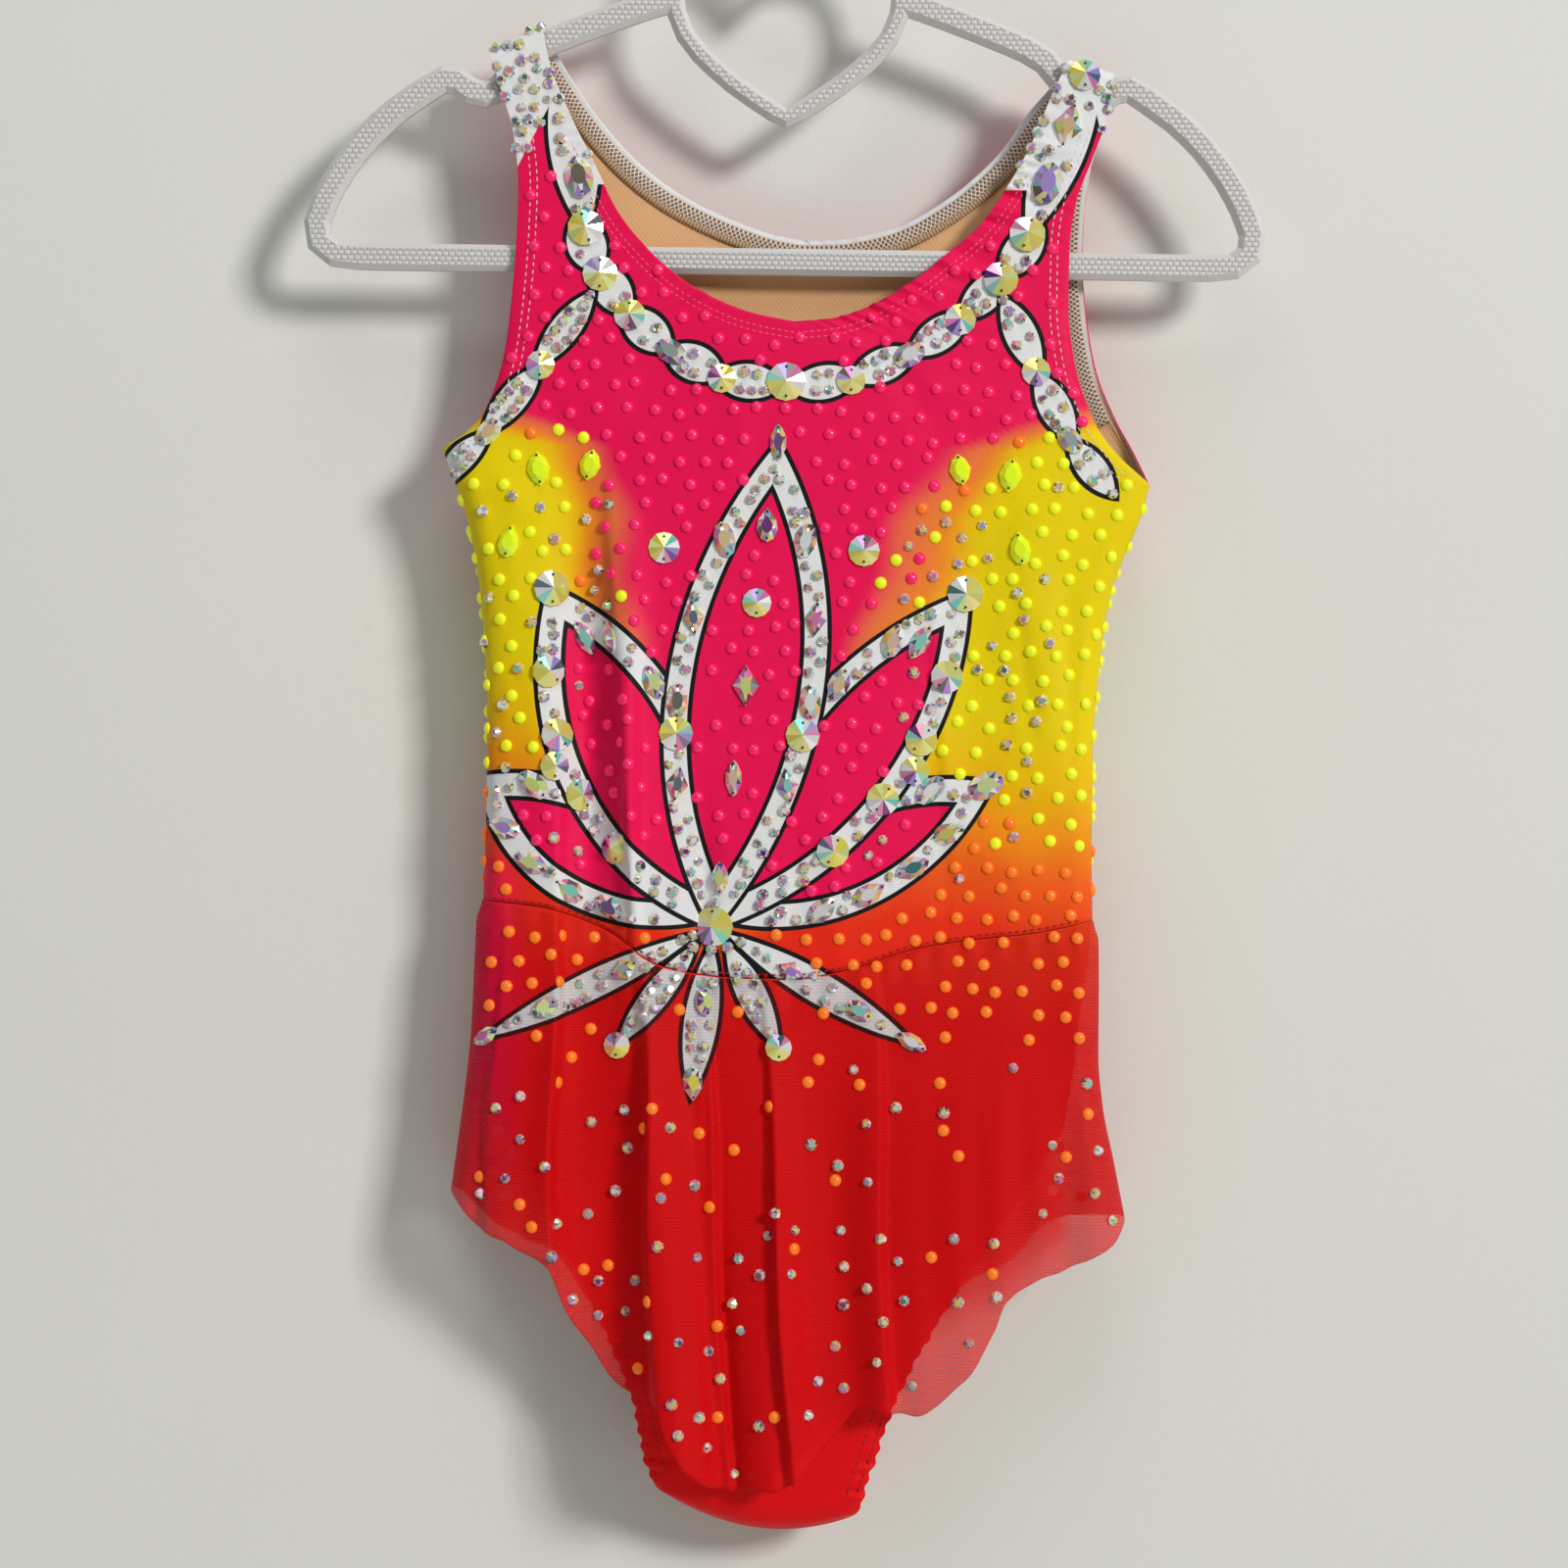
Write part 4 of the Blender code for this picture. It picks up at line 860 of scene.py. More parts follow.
@dataclass
class Shader:
    """Writes the nodes of one material.

    Args:
        name: name of the new material.
    """

    name: str

    def __post_init__(self) -> None:
        """Start a material with its principled shader."""
        self.material = bpy.data.materials.new(self.name)
        self.material.use_nodes = True
        self.tree = self.material.node_tree
        self.face = self.tree.nodes["Principled BSDF"]

    def add(self, kind: str, **settings: str | bool) -> bpy.types.Node:
        """New node of a kind with its settings.

        Args:
            kind: type of the node.
            settings: values by property name.

        Returns:
            The node.
        """
        node = self.tree.nodes.new(kind)
        for key, value in settings.items():
            setattr(node, key, value)
        return node

    def put(self, target: Socket, value: Input) -> None:
        """Give an input a socket or a constant.

        Args:
            target: the input.
            value: what it takes.
        """
        if isinstance(value, bpy.types.NodeSocket):
            self.tree.links.new(value, target)
        else:
            target.default_value = value

    def math(self, operation: str, first: Input, second: Input = 0.0,
             clamp: bool = False) -> Socket:
        """Output of a math node.

        Args:
            operation: what it works out.
            first: first input.
            second: second input.
            clamp: True to hold it to 0 and 1.

        Returns:
            The output.
        """
        node = self.add("ShaderNodeMath", operation=operation, use_clamp=clamp)
        self.put(node.inputs[0], first)
        self.put(node.inputs[1], second)
        return node.outputs[0]

    def distance(self, first: Socket, second: Place) -> Socket:
        """Distance from a place to a fixed point.

        Args:
            first: the place.
            second: the fixed point.

        Returns:
            The output.
        """
        node = self.add("ShaderNodeVectorMath", operation="DISTANCE")
        self.put(node.inputs[0], first)
        self.put(node.inputs[1], (second[0], second[1], 0.0))
        return node.outputs["Value"]

    def blend(self, share: Input, first: Input, second: Input, kind: str = "MIX") -> Socket:
        """Output of a colour mix.

        Args:
            share: share of the second colour.
            first: first colour.
            second: second colour.
            kind: how they mix.

        Returns:
            The output.
        """
        node = self.add("ShaderNodeMix", data_type="RGBA", blend_type=kind)
        self.put(node.inputs[0], share)
        self.put(node.inputs[6], first)
        self.put(node.inputs[7], second)
        return node.outputs[2]

    def ramp(self, value: Input, stops: Sequence) -> bpy.types.Node:
        """Colour ramp through places and colours with alpha.

        Args:
            value: where to read the ramp.
            stops: places with their colours.

        Returns:
            The node.
        """
        node = self.add("ShaderNodeValToRGB")
        marks = node.color_ramp.elements
        while len(marks) < len(stops):
            marks.new(0.5)
        for mark, (place, colour) in zip(marks, stops):
            mark.position = place
            mark.color = colour
        self.put(node.inputs["Fac"], value)
        return node

    def split(self, name: str | None = None) -> bpy.types.Node:
        """X, Y and Z of a vector attribute, or of the place on the object.

        Args:
            name: name of the attribute, or None for the place.

        Returns:
            The node.
        """
        node = self.add("ShaderNodeSeparateXYZ")
        if name is None:
            source = self.add("ShaderNodeTexCoord").outputs["Object"]
        else:
            source = self.add("ShaderNodeAttribute", attribute_name=name).outputs["Vector"]
        self.put(node.inputs[0], source)
        return node

    def noise(self, scale: float, detail: float = 3.0) -> Socket:
        """Noise value in object space.

        Args:
            scale: noise scale.
            detail: noise detail.

        Returns:
            The output.
        """
        node = self.add("ShaderNodeTexNoise")
        node.inputs["Scale"].default_value = scale
        node.inputs["Detail"].default_value = detail
        self.put(node.inputs["Vector"], self.add("ShaderNodeTexCoord").outputs["Object"])
        return node.outputs["Fac"]

    def colour(self, source: Socket | Tone | str, scale: float, low: float) -> Socket:
        """Base colour with slight tone changes.

        Args:
            source: a colour, a colour attribute's name or a socket.
            scale: size of the changes, as a noise scale.
            low: darkest tone.

        Returns:
            The toned colour's socket.
        """
        if isinstance(source, str):
            source = self.add("ShaderNodeAttribute", attribute_name=source).outputs["Color"]
        elif isinstance(source, tuple):
            source = (*source, 1.0)
        grey = self.ramp(self.noise(scale), ((0.3, (low, low, low, 1.0)),
                                             (0.7, (1.0, 1.0, 1.0, 1.0))))
        return self.blend(1.0, source, grey.outputs["Color"], "MULTIPLY")

    def bump(self, height: Socket, distance: float) -> None:
        """Bump of the face, with its depth in millimetres.

        Args:
            height: height from 0 to 1.
            distance: its depth.
        """
        node = self.add("ShaderNodeBump")
        node.inputs["Distance"].default_value = distance * MM
        self.put(node.inputs["Height"], height)
        self.put(self.face.inputs["Normal"], node.outputs["Normal"])

    def one_sided(self) -> None:
        """Make the face clear from behind."""
        clear = self.add("ShaderNodeBsdfTransparent")
        thin = self.add("ShaderNodeMixShader")
        self.put(thin.inputs["Fac"], self.add("ShaderNodeNewGeometry").outputs["Backfacing"])
        self.put(thin.inputs[1], self.face.outputs[0])
        self.put(thin.inputs[2], clear.outputs[0])
        self.put(self.tree.nodes["Material Output"].inputs["Surface"], thin.outputs[0])

    def set(self, **values: float) -> None:
        """Constants of the principled shader, by name with spaces as underscores."""
        for key, value in values.items():
            self.face.inputs[key.replace("_", " ")].default_value = value


def cloth_material(name: str, finish: ClothFinish, colour: Tone | str,
                   printed: bool = False) -> bpy.types.Material:
    """Material of a cloth.

    Args:
        name: name of the material.
        finish: how it takes the light.
        colour: a colour, or the name of a colour attribute.
        printed: True where the petals and leaves are drawn over it.

    Returns:
        The material.
    """
    shader = Shader(name)
    base = shader.colour(colour, 14.0, 0.95)
    if printed:
        base = draw_print(shader, base)
    shader.put(shader.face.inputs["Base Color"], base)
    shader.set(Roughness=finish.roughness, Sheen_Weight=finish.sheen, Sheen_Roughness=0.4,
               Specular_IOR_Level=0.10)
    place = shader.split()
    across = shader.math("SINE", shader.math("MULTIPLY", place.outputs["X"], finish.knit * 2.2))
    down = shader.math("SINE", shader.math("MULTIPLY", place.outputs["Z"], finish.knit * 1.6))
    loops = shader.math("MULTIPLY", across, down)
    half = shader.math("MULTIPLY", loops, 0.5)
    shader.bump(shader.math("ADD", half, shader.noise(900.0, 2.0)), finish.knit_depth)
    if finish.cover < 1.0:
        clear = shader.add("ShaderNodeBsdfTransparent")
        thin = shader.add("ShaderNodeMixShader")
        thread = shader.math("ABSOLUTE", loops)
        cover = shader.math("SUBTRACT", finish.cover + 0.1, shader.math("MULTIPLY", thread, 0.25))
        shader.put(thin.inputs["Fac"], cover)
        shader.put(thin.inputs[1], clear.outputs[0])
        shader.put(thin.inputs[2], shader.face.outputs[0])
        shader.put(shader.tree.nodes["Material Output"].inputs["Surface"], thin.outputs[0])
    return shader.material


def draw_print(shader: Shader, base: Socket) -> Socket:
    """Paint the petals and leaves over a ground colour.

    Args:
        shader: the material's nodes.
        base: socket with the ground colour.

    Returns:
        Socket with the printed colour.
    """
    place = shader.split("design")
    across = shader.math("ABSOLUTE", place.outputs["X"])
    joined = shader.add("ShaderNodeCombineXYZ")
    shader.put(joined.inputs["X"], across)
    shader.put(joined.inputs["Y"], place.outputs["Y"])
    low, span = 12.0, 16.0
    white, black, fill = (*WHITE, 1.0), (*BLACK, 1.0), (*MAGENTA, 1.0)
    for leaf in LEAVES + PETALS:
        first, second, radius = leaf_arcs(leaf)
        far = shader.math("MAXIMUM", shader.distance(joined.outputs[0], first),
                          shader.distance(joined.outputs[0], second))
        share = shader.math("DIVIDE", shader.math("ADD", far, low - radius), span, clamp=True)
        marks = [(-0.1, white), (0.1, black), (OUTLINE - 0.1, black),
                 (OUTLINE + 0.1, (*BLACK, 0.0))]
        if leaf.filled:
            inner = -BAND - OUTLINE
            marks = [(inner - 0.1, fill), (inner + 0.1, black), (-BAND - 0.1, black),
                     (-BAND + 0.1, white)] + marks
        paint = shader.ramp(share, [((at + low) / span, tone) for at, tone in marks])
        base = shader.blend(paint.outputs["Alpha"], base, paint.outputs["Color"])
    off = shader.math("ABSOLUTE", shader.math("SUBTRACT", across, STRAP_MIDDLE))
    edge = shader.math("ADD", shader.math("MULTIPLY", off, STRAP_SPREAD), STRAP_WHITE)
    top = shader.math("SUBTRACT", edge, place.outputs["Y"], clamp=True)
    high = shader.math("LESS_THAN", place.outputs["Y"], -56.0)
    return shader.blend(shader.math("MULTIPLY", top, high), base, white)


def hard_material(name: str, finish: HardFinish, colour: Tone | str) -> bpy.types.Material:
    """Material of domes, stones or thread.

    Args:
        name: name of the material.
        finish: how it takes the light.
        colour: a colour, or the name of a colour attribute.

    Returns:
        The material.
    """
    shader = Shader(name)
    shader.put(shader.face.inputs["Base Color"], shader.colour(colour, 60.0, 0.94))
    shader.set(Roughness=finish.roughness, Metallic=finish.metallic, Coat_Weight=finish.coat)
    # Painted glow: a constant emission stands in for the fluorescence of the neon colours.
    if finish.painted_glow > 0.0:
        shader.face.inputs["Emission Color"].default_value = (*colour, 1.0)
        shader.set(Emission_Strength=finish.painted_glow)
    return shader.material


def elastic_material() -> bpy.types.Material:
    """Pale cover stitch over nude elastic, with a beaded nude binding below it, and painted shade
    in the gaps between the threads and between the beads.

    Returns:
        The material.
    """
    shader = Shader("nude elastic")
    place = shader.split("weft")
    run = shader.math("MULTIPLY", place.outputs["X"], 1.6)
    threads = []
    for slant in (1.3, -1.3):
        lean = shader.math("ADD", run, shader.math("MULTIPLY", place.outputs["Y"], slant))
        threads.append(shader.math("ABSOLUTE", shader.math("SINE", lean)))
    lattice = shader.math("MAXIMUM", threads[0], threads[1])
    share = shader.math("MULTIPLY", shader.math("SUBTRACT", lattice, 0.78), 6.0, clamp=True)
    # Painted shade: the gaps between the pale threads are dark brown.
    net = shader.blend(share, (0.20, 0.105, 0.06, 1.0), (0.80, 0.67, 0.56, 1.0))
    beads = shader.math("ABSOLUTE", shader.math("SINE", shader.math("MULTIPLY", run, 1.5)))
    # Painted shade: the beaded binding turns dark between the beads.
    bound = shader.blend(beads, (0.24, 0.13, 0.065, 1.0), (0.58, 0.40, 0.24, 1.0))
    far = shader.math("GREATER_THAN", place.outputs["Y"], 7.4)
    shader.put(shader.face.inputs["Base Color"], shader.blend(far, net, bound))
    shader.set(Roughness=0.7)
    shader.bump(shader.math("MAXIMUM", share, shader.math("MULTIPLY", far, beads)), 0.3)
    return shader.material


def hanger_material() -> bpy.types.Material:
    """Light grey moulded plastic with fine studs on its flat faces, and painted shade in the gaps
    between the studs.

    Returns:
        The material.
    """
    shader = Shader("hanger plastic")
    place = shader.split()
    row = shader.math("DIVIDE", place.outputs["Z"], 2.1 * MM)
    odd = shader.math("MULTIPLY", shader.math("FLOOR", row), 0.5)
    across = shader.math("DIVIDE", place.outputs["X"], 2.7 * MM)
    stud = 1.0
    for at in (shader.math("ADD", across, odd), row):
        wave = shader.math("SINE", shader.math("MULTIPLY", shader.math("FRACT", at), math.pi))
        stud = shader.math("MULTIPLY", wave, stud)
    stud = shader.math("POWER", stud, 0.6)
    facing = shader.add("ShaderNodeSeparateXYZ")
    shader.put(facing.inputs[0], shader.add("ShaderNodeNewGeometry").outputs["True Normal"])
    flat = shader.math("GREATER_THAN", shader.math("ABSOLUTE", facing.outputs["Y"]), 0.95)
    height = shader.math("MULTIPLY", stud, flat)
    base = shader.colour((0.70, 0.685, 0.675), 30.0, 0.95)
    # Painted shade: the flat faces turn darker grey in the gaps between the studs.
    stud_gap_shade = shader.math("MULTIPLY", shader.math("SUBTRACT", flat, height), 0.45)
    shade = shader.blend(stud_gap_shade, base, (0.36, 0.355, 0.355, 1.0))
    shader.put(shader.face.inputs["Base Color"], shade)
    shader.set(Roughness=0.42)
    shader.bump(height, 0.4)
    return shader.material


@dataclass
class Shell:
    """Thin cloth shell built from blocks of rows, in millimetres.

    Args:
        name: name of the piece.
        side: side it faces.
        wall: thickness in millimetres.
        bm: the mesh as it is built.
        tree: its faces for ray casts, once closed.
        piece: its object, once closed.
    """

    name: str
    side: Side
    wall: float
    bm: bmesh.types.BMesh = field(default_factory=bmesh.new)
    tree: BVHTree | None = None
    piece: bpy.types.Object | None = None

    def __post_init__(self) -> None:
        """Add the layer that holds the places along an elastic."""
        self.weft = self.bm.verts.layers.float_vector.new("weft")

    def block(self, rows: Sequence | np.ndarray, weft: Sequence | None = None) -> None:
        """Add a block of rows, each with the same number of points.

        Args:
            rows: the rows, in millimetres.
            weft: place along an elastic at each point.
        """
        rows = np.asarray(rows)
        made = bmesh.ops.create_grid(self.bm, x_segments=rows.shape[1] - 1,
                                     y_segments=rows.shape[0] - 1, size=1.0)
        for vert, place in zip(made["verts"], rows.reshape(-1, 3)):
            vert.co = place
        if weft is not None:
            for vert, mark in zip(made["verts"], weft):
                vert[self.weft] = (mark[0], mark[1], 0.0)

    def close(self, materials: Sequence, colouring: Colouring | None = None) -> bpy.types.Object:
        """Turn the blocks into a piece.

        Args:
            materials: outer material, then inner material if it differs.
            colouring: function from X and Z to ground colours, or None.

        Returns:
            The new object.
        """
        bmesh.ops.remove_doubles(self.bm, verts=self.bm.verts[:], dist=0.02)
        self.bm.normal_update()
        facing = sum(f.normal.y * f.calc_area() for f in self.bm.faces)
        if facing * self.side.value < 0.0:
            bmesh.ops.reverse_faces(self.bm, faces=self.bm.faces[:])
        for face in self.bm.faces:
            face.smooth = True
        self.tree = BVHTree.FromBMesh(self.bm)
        mesh = bpy.data.meshes.new(self.name)
        self.bm.to_mesh(mesh)
        self.bm.free()
        if colouring is not None:
            self.colour(mesh, colouring)
        mesh.transform(Matrix.Scale(MM, 4))
        self.piece = bpy.data.objects.new(self.name, mesh)
        bpy.context.scene.collection.objects.link(self.piece)
        for material in materials:
            mesh.materials.append(material)
        solid = self.piece.modifiers.new("wall", "SOLIDIFY")
        solid.thickness = self.wall * MM
        solid.offset = -1.0
        solid.use_even_offset = True
        solid.material_offset = len(materials) - 1
        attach(self.piece, "root")
        LOG.info("%s: %d points", self.name, len(mesh.vertices))
        return self.piece

    def colour(self, mesh: bpy.types.Mesh, colouring: Colouring) -> None:
        """Store the ground colour and the place in the print at each point.

        Args:
            mesh: the shell's mesh.
            colouring: function from X and Z to ground colours.
        """
        places = np.zeros(len(mesh.vertices) * 3)
        mesh.vertices.foreach_get("co", places)
        x, z = places[0::3], places[2::3]
        colour = np.ones((len(x), 4), dtype=np.float32)
        colour[:, :3] = colouring(x, z)
        ground = mesh.attributes.new("ground", "FLOAT_COLOR", "POINT")
        ground.data.foreach_set("color", colour.ravel())
        across, down = design_place(x, z)
        flat = np.stack([across, down, np.zeros_like(down)], axis=1).astype(np.float32)
        design = mesh.attributes.new("design", "FLOAT_VECTOR", "POINT")
        design.data.foreach_set("vector", flat.ravel())

    def spot(self, x: float, z: float) -> Spot | None:
        """Place and outward normal of the shell at X and Z, or None past its edge."""
        ahead = Vector((0.0, -self.side.value, 0.0))
        return self.cast(Vector((x, self.side.value * 80.0, z)), ahead)

    def cast(self, start: Vector, ahead: Vector) -> Spot | None:
        """Place and outward normal where a ray meets the shell.

        Args:
            start: start of the ray.
            ahead: its direction.

        Returns:
            Both, or None where it misses.
        """
        place, normal, _, _ = self.tree.ray_cast(start, ahead)
        if place is None:
            return None
        return place, -normal if normal.dot(ahead) > 0.0 else normal


@dataclass
class Bodice:
    """Front or back bodice, or the lining inside it.

    Args:
        name: name of the piece.
        side: side it faces.
        left, right: tables of both upper halves.
        depths: depth table of the upper halves.
        body: section table below the armpits.
        waist: height of the waist seam.
        folds: folds, creases and steps.
        columns, rows, body_count: number of points each way.
        inset: how far it keeps inside the armhole and the neckline.
        low: share of the body's height that it reaches down to.
        gathers: height of the gathers at the left and right neckline.
    """

    name: str
    side: Side
    left: tuple
    right: tuple
    depths: tuple
    body: tuple
    waist: tuple
    folds: tuple
    columns: int
    rows: int
    body_count: int
    inset: float = 0.0
    low: float = 1.0
    gathers: tuple = (0.42, 0.42)
    across: dict = field(default_factory=dict)

    def half(self, fan: tuple, shares: Sequence, gathers: float) -> np.ndarray:
        """Rows of an upper half from the strap down, columns from arm to neck.

        Args:
            fan: table of the half.
            shares: shares of the way down.
            gathers: height of the gathers at the neckline.

        Returns:
            The rows.
        """
        made = []
        run_arm, run_neck, before = 0.0, 0.0, None
        spaced = side_spaced(self.columns, 147.0)
        for share in shares:
            arm = (curve(fan, "arm_x", share), curve(fan, "arm_z", share))
            neck = (curve(fan, "neck_x", share), curve(fan, "neck_z", share))
            if before is not None:
                run_arm += math.dist(arm, before[0])
                run_neck += math.dist(neck, before[1])
            before = (arm, neck)
            width = math.dist(arm, neck)
            across = (self.inset + spaced * (width - 2.0 * self.inset)) / width
            x, z = mix(arm[0], neck[0], across), mix(arm[1], neck[1], across)
            crown = curve(self.depths, "crown", share) * np.sin(0.5 * math.pi * across)
            full = curve(self.depths, "full", share) + crown
            rounding = side_round(np.abs(x - arm[0]), SIDE_ROUND)
            fade = min(share / 0.08, 1.0)
            slant = mix(1.0, 0.55, share)
            from_neck = (1.0 - across) * width * slant
            lift = fold_lift(self.folds, x, z)
            lift = lift + fade * pucker(run_arm, across * width, 6.0, 0.34, fan[0].arm_x)
            lift = lift + fade * pucker(run_neck, from_neck, 7.0, gathers, 3.0)
            lift = lift + fade * pucker(run_neck, from_neck, 15.0, 0.9 * gathers, 5.0, 2.3)
            y = mix(curve(self.depths, "arm", share), full, rounding) + lift * rounding
            made.append(np.stack([x, self.side.value * y, z], axis=1))
            self.across[fan] = across
        return np.array(made)

    def build(self, materials: Sequence, colouring: Colouring | None = None) -> Shell:
        """Make the piece.

        Args:
            materials: outer material, then inner material if it differs.
            colouring: function from X and Z to ground colours, or None.

        Returns:
            Its shell.
        """
        shares = [0.0, 0.003, 0.007, 0.013, 0.022, 0.034] if self.inset == 0.0 else []
        shares += list(np.linspace(0.05, 1.0, self.rows))
        shell = Shell(self.name, self.side, KNIT_WALL)
        left = self.half(self.left, shares, self.gathers[0])
        right = self.half(self.right, shares, self.gathers[1])[:, ::-1]
        shell.block(left)
        shell.block(right)
        skip = 1 if self.inset == 0.0 else 0
        top = np.concatenate([left[-1], right[-1][skip:]])
        across = np.concatenate([0.5 * self.across[self.left],
                                 1.0 - 0.5 * self.across[self.right][::-1][skip:]])
        shell.block(self.lower(top, across))
        shell.close(materials, colouring)
        return shell

    def lower(self, top: np.ndarray, across: np.ndarray) -> np.ndarray:
        """Rows below the armpits, from the row where the halves end.

        Args:
            top: the row at the armpits.
            across: share across of each column.

        Returns:
            The rows.
        """
        made = [top]
        low = curve_all(self.waist, "height", across)
        for share in np.linspace(0.0, self.low, self.body_count)[1:]:
            left_x, right_x = curve(self.body, "left_x", share), curve(self.body, "right_x", share)
            even = mix(left_x, right_x, across)
            x = mix(top[:, 0] + mix(left_x - self.body[0].left_x, right_x - self.body[0].right_x,
                                    across), even, ease(share * 4.0))
            z = mix(top[:, 2], low, share)
            crown = curve(self.body, "crown", share) * np.sin(math.pi * across)
            full = curve(self.body, "full", share) + crown
            rounding = side_round(np.minimum(x - left_x, right_x - x), SIDE_ROUND)
            y = mix(0.5 * SEAM_GAP, full, rounding) + fold_lift(self.folds, x, z) * rounding
            made.append(np.stack([x, self.side.value * y, z], axis=1))
        return np.array(made)


@dataclass
class Skirt:
    """Half of the mesh skirt.

    Args:
        name: name of the piece.
        side: side it faces.
        rows: section table.
        waist, hem: heights of both ends.
        flutes: soft flutes that grow towards the hem.
        edges: sharp folded edges.
        folds: folds that run on from the bodice.
        columns, count: number of points each way.
    """

    name: str
    side: Side
    rows: tuple
    waist: tuple
    hem: tuple
    flutes: tuple
    edges: tuple
    folds: tuple
    columns: int
    count: int

    def build(self, materials: Sequence, colouring: Colouring) -> Shell:
        """Make the piece.

        Args:
            materials: outer material, then inner material if it differs.
            colouring: function from X and Z to ground colours.

        Returns:
            Its shell.
        """
        ends = side_spaced(self.columns // 2, 140.0)
        across = np.concatenate([0.5 * ends, (1.0 - 0.5 * ends[:-1])[::-1]])
        left, right = self.rows[-1].left_x, self.rows[-1].right_x
        top = curve_all(self.waist, "height", across) - 2.0 * SEAM_GAP
        low = curve_all(self.hem, "height", mix(left, right, across))
        low = low + 0.3 * np.sin(across * 96.0) + 0.2 * np.sin(across * 151.0 + 1.0)
        shell = Shell(self.name, self.side, NET_WALL)
        made = [self.row(share, across, mix(top, low, share))
                for share in np.linspace(0.0, 1.0, self.count)]
        shell.block(made)
        shell.close(materials, colouring)
        return shell

    def row(self, share: float, across: np.ndarray, z: np.ndarray) -> np.ndarray:
        """Points of one row, a share of the way down.

        Args:
            share: share of the way down.
            across: share across of each column.
            z: height of each column.

        Returns:
            The points.
        """
        seam = 1.0 - float(ease(share / 0.07))
        left_x = curve(self.rows, "left_x", share) + 1.9 * seam
        right_x = curve(self.rows, "right_x", share) - 1.9 * seam
        x = mix(left_x, right_x, across)
        crown = curve(self.rows, "crown", share) * np.sin(math.pi * across)
        full = curve(self.rows, "full", share) + crown - 1.7 * seam
        rounding = side_round(np.minimum(x - left_x, right_x - x), SIDE_ROUND + SKIRT_OUT)
        lift = fold_lift(self.folds, x, z)
        grown = share ** FLUTE_GROWTH
        for flute in self.flutes:
            centre = mix(flute.waist_x, flute.hem_x, share)
            lift = lift + grown * flute.lift * np.exp(-((x - centre) / flute.width) ** 2)
        held = 0.25 + 0.75 * float(ease(share / 0.45))
        for edge in self.edges:
            centre = mix(edge.waist_x, edge.hem_x, share) + 1.2 * math.sin(share * 7.0)
            lift = lift + held * sharp_edge(x - centre, edge.rise, edge.reach)
        lift = lift + 0.5 * grown * np.sin(x * 0.34 + 1.3 * np.sin(z * 0.03))
        lift = lift + 0.5 * np.sin(x * 0.55 + 1.0) * math.exp(-((share / 0.06) ** 2))
        y = mix(0.5 * SEAM_GAP, full, rounding) + lift * rounding
        return np.stack([x, self.side.value * y, z], axis=1)


@dataclass
class BriefHalf:
    """Front or back of the brief.

    Args:
        name: name of the piece.
        side: side it faces.
        waist: height of the waist seam.
        folds: folds that run on from the bodice.
    """

    name: str
    side: Side
    waist: tuple
    folds: tuple

    def row(self, share: float, across: np.ndarray) -> np.ndarray:
        """Points of one row, a share of the way down.

        Args:
            share: share of the way down.
            across: share across of each column.

        Returns:
            The points.
        """
        left_x, right_x = curve(BRIEF_ROWS, "left_x", share), curve(BRIEF_ROWS, "right_x", share)
        left_z, right_z = curve(BRIEF_ROWS, "left_z", share), curve(BRIEF_ROWS, "right_z", share)
        ruffle = 0.6 * float(ease((share - 0.33) * 8.0) * ease((1.0 - share) * 12.0))
        left_x += ruffle * math.sin(left_z * 1.02) + 0.5 * ruffle * math.sin(left_z * 0.43)
        right_x += ruffle * math.sin(right_z * 0.97) + 0.5 * ruffle * math.sin(right_z * 0.39)
        x = mix(left_x, right_x, across)
        seam = curve_all(self.waist, "height", across) - SEAM_GAP
        flat_seam = mix(BRIEF_ROWS[0].left_z, BRIEF_ROWS[0].right_z, across)
        fade = max(1.0 - share / BRIEF_WAIST_FADE, 0.0)
        z = mix(left_z, right_z, across) + (seam - flat_seam) * fade
        z = z + curve(BRIEF_ROWS, "sag", share) * np.sin(math.pi * across) ** 0.8
        back = self.side is Side.BACK
        crown = curve(BRIEF_ROWS, "crown", share) - (0.8 * fade if back else 0.0)
        full = curve(BRIEF_ROWS, "full", share) + (0.4 * fade if back else 0.0)
        full = full + crown * np.sin(math.pi * across)
        inner = np.minimum(x - left_x, right_x - x)
        rounding = side_round(inner, SIDE_ROUND)
        held = min(1.0, 10.0 * (1.0 - share))
        lift = fold_lift(self.folds, x, z)
        if share > 0.3:
            lift = lift + pucker(z * 1.15, inner, 7.0, 2.6, 1.0 + self.side.value)
            lift = lift + pucker(z, inner, 16.0, 0.6, 4.0, 2.2)
        y = mix(curve(BRIEF_ROWS, "edge", share), full, rounding)
        y = y + lift * held * np.maximum(rounding, 0.4 if share > 0.33 else 0.0)
        return np.stack([x, self.side.value * y, z], axis=1)

    def build(self, materials: Sequence, colouring: Colouring) -> Shell:
        """Make the piece.

        Args:
            materials: outer material, then inner material if it differs.
            colouring: function from X and Z to ground colours.

        Returns:
            Its shell.
        """
        ends = side_spaced(44, 126.0)
        across = np.concatenate([0.5 * ends, (1.0 - 0.5 * ends[:-1])[::-1]])
        shares = list(np.linspace(0.0, 0.94, 180)) + [0.955, 0.965, 0.975, 0.984, 0.991, 0.996,
                                                     1.0]
        shell = Shell(self.name, self.side, KNIT_WALL)
        shell.block([self.row(share, across) for share in shares])
        shell.close(materials, colouring)
        return shell


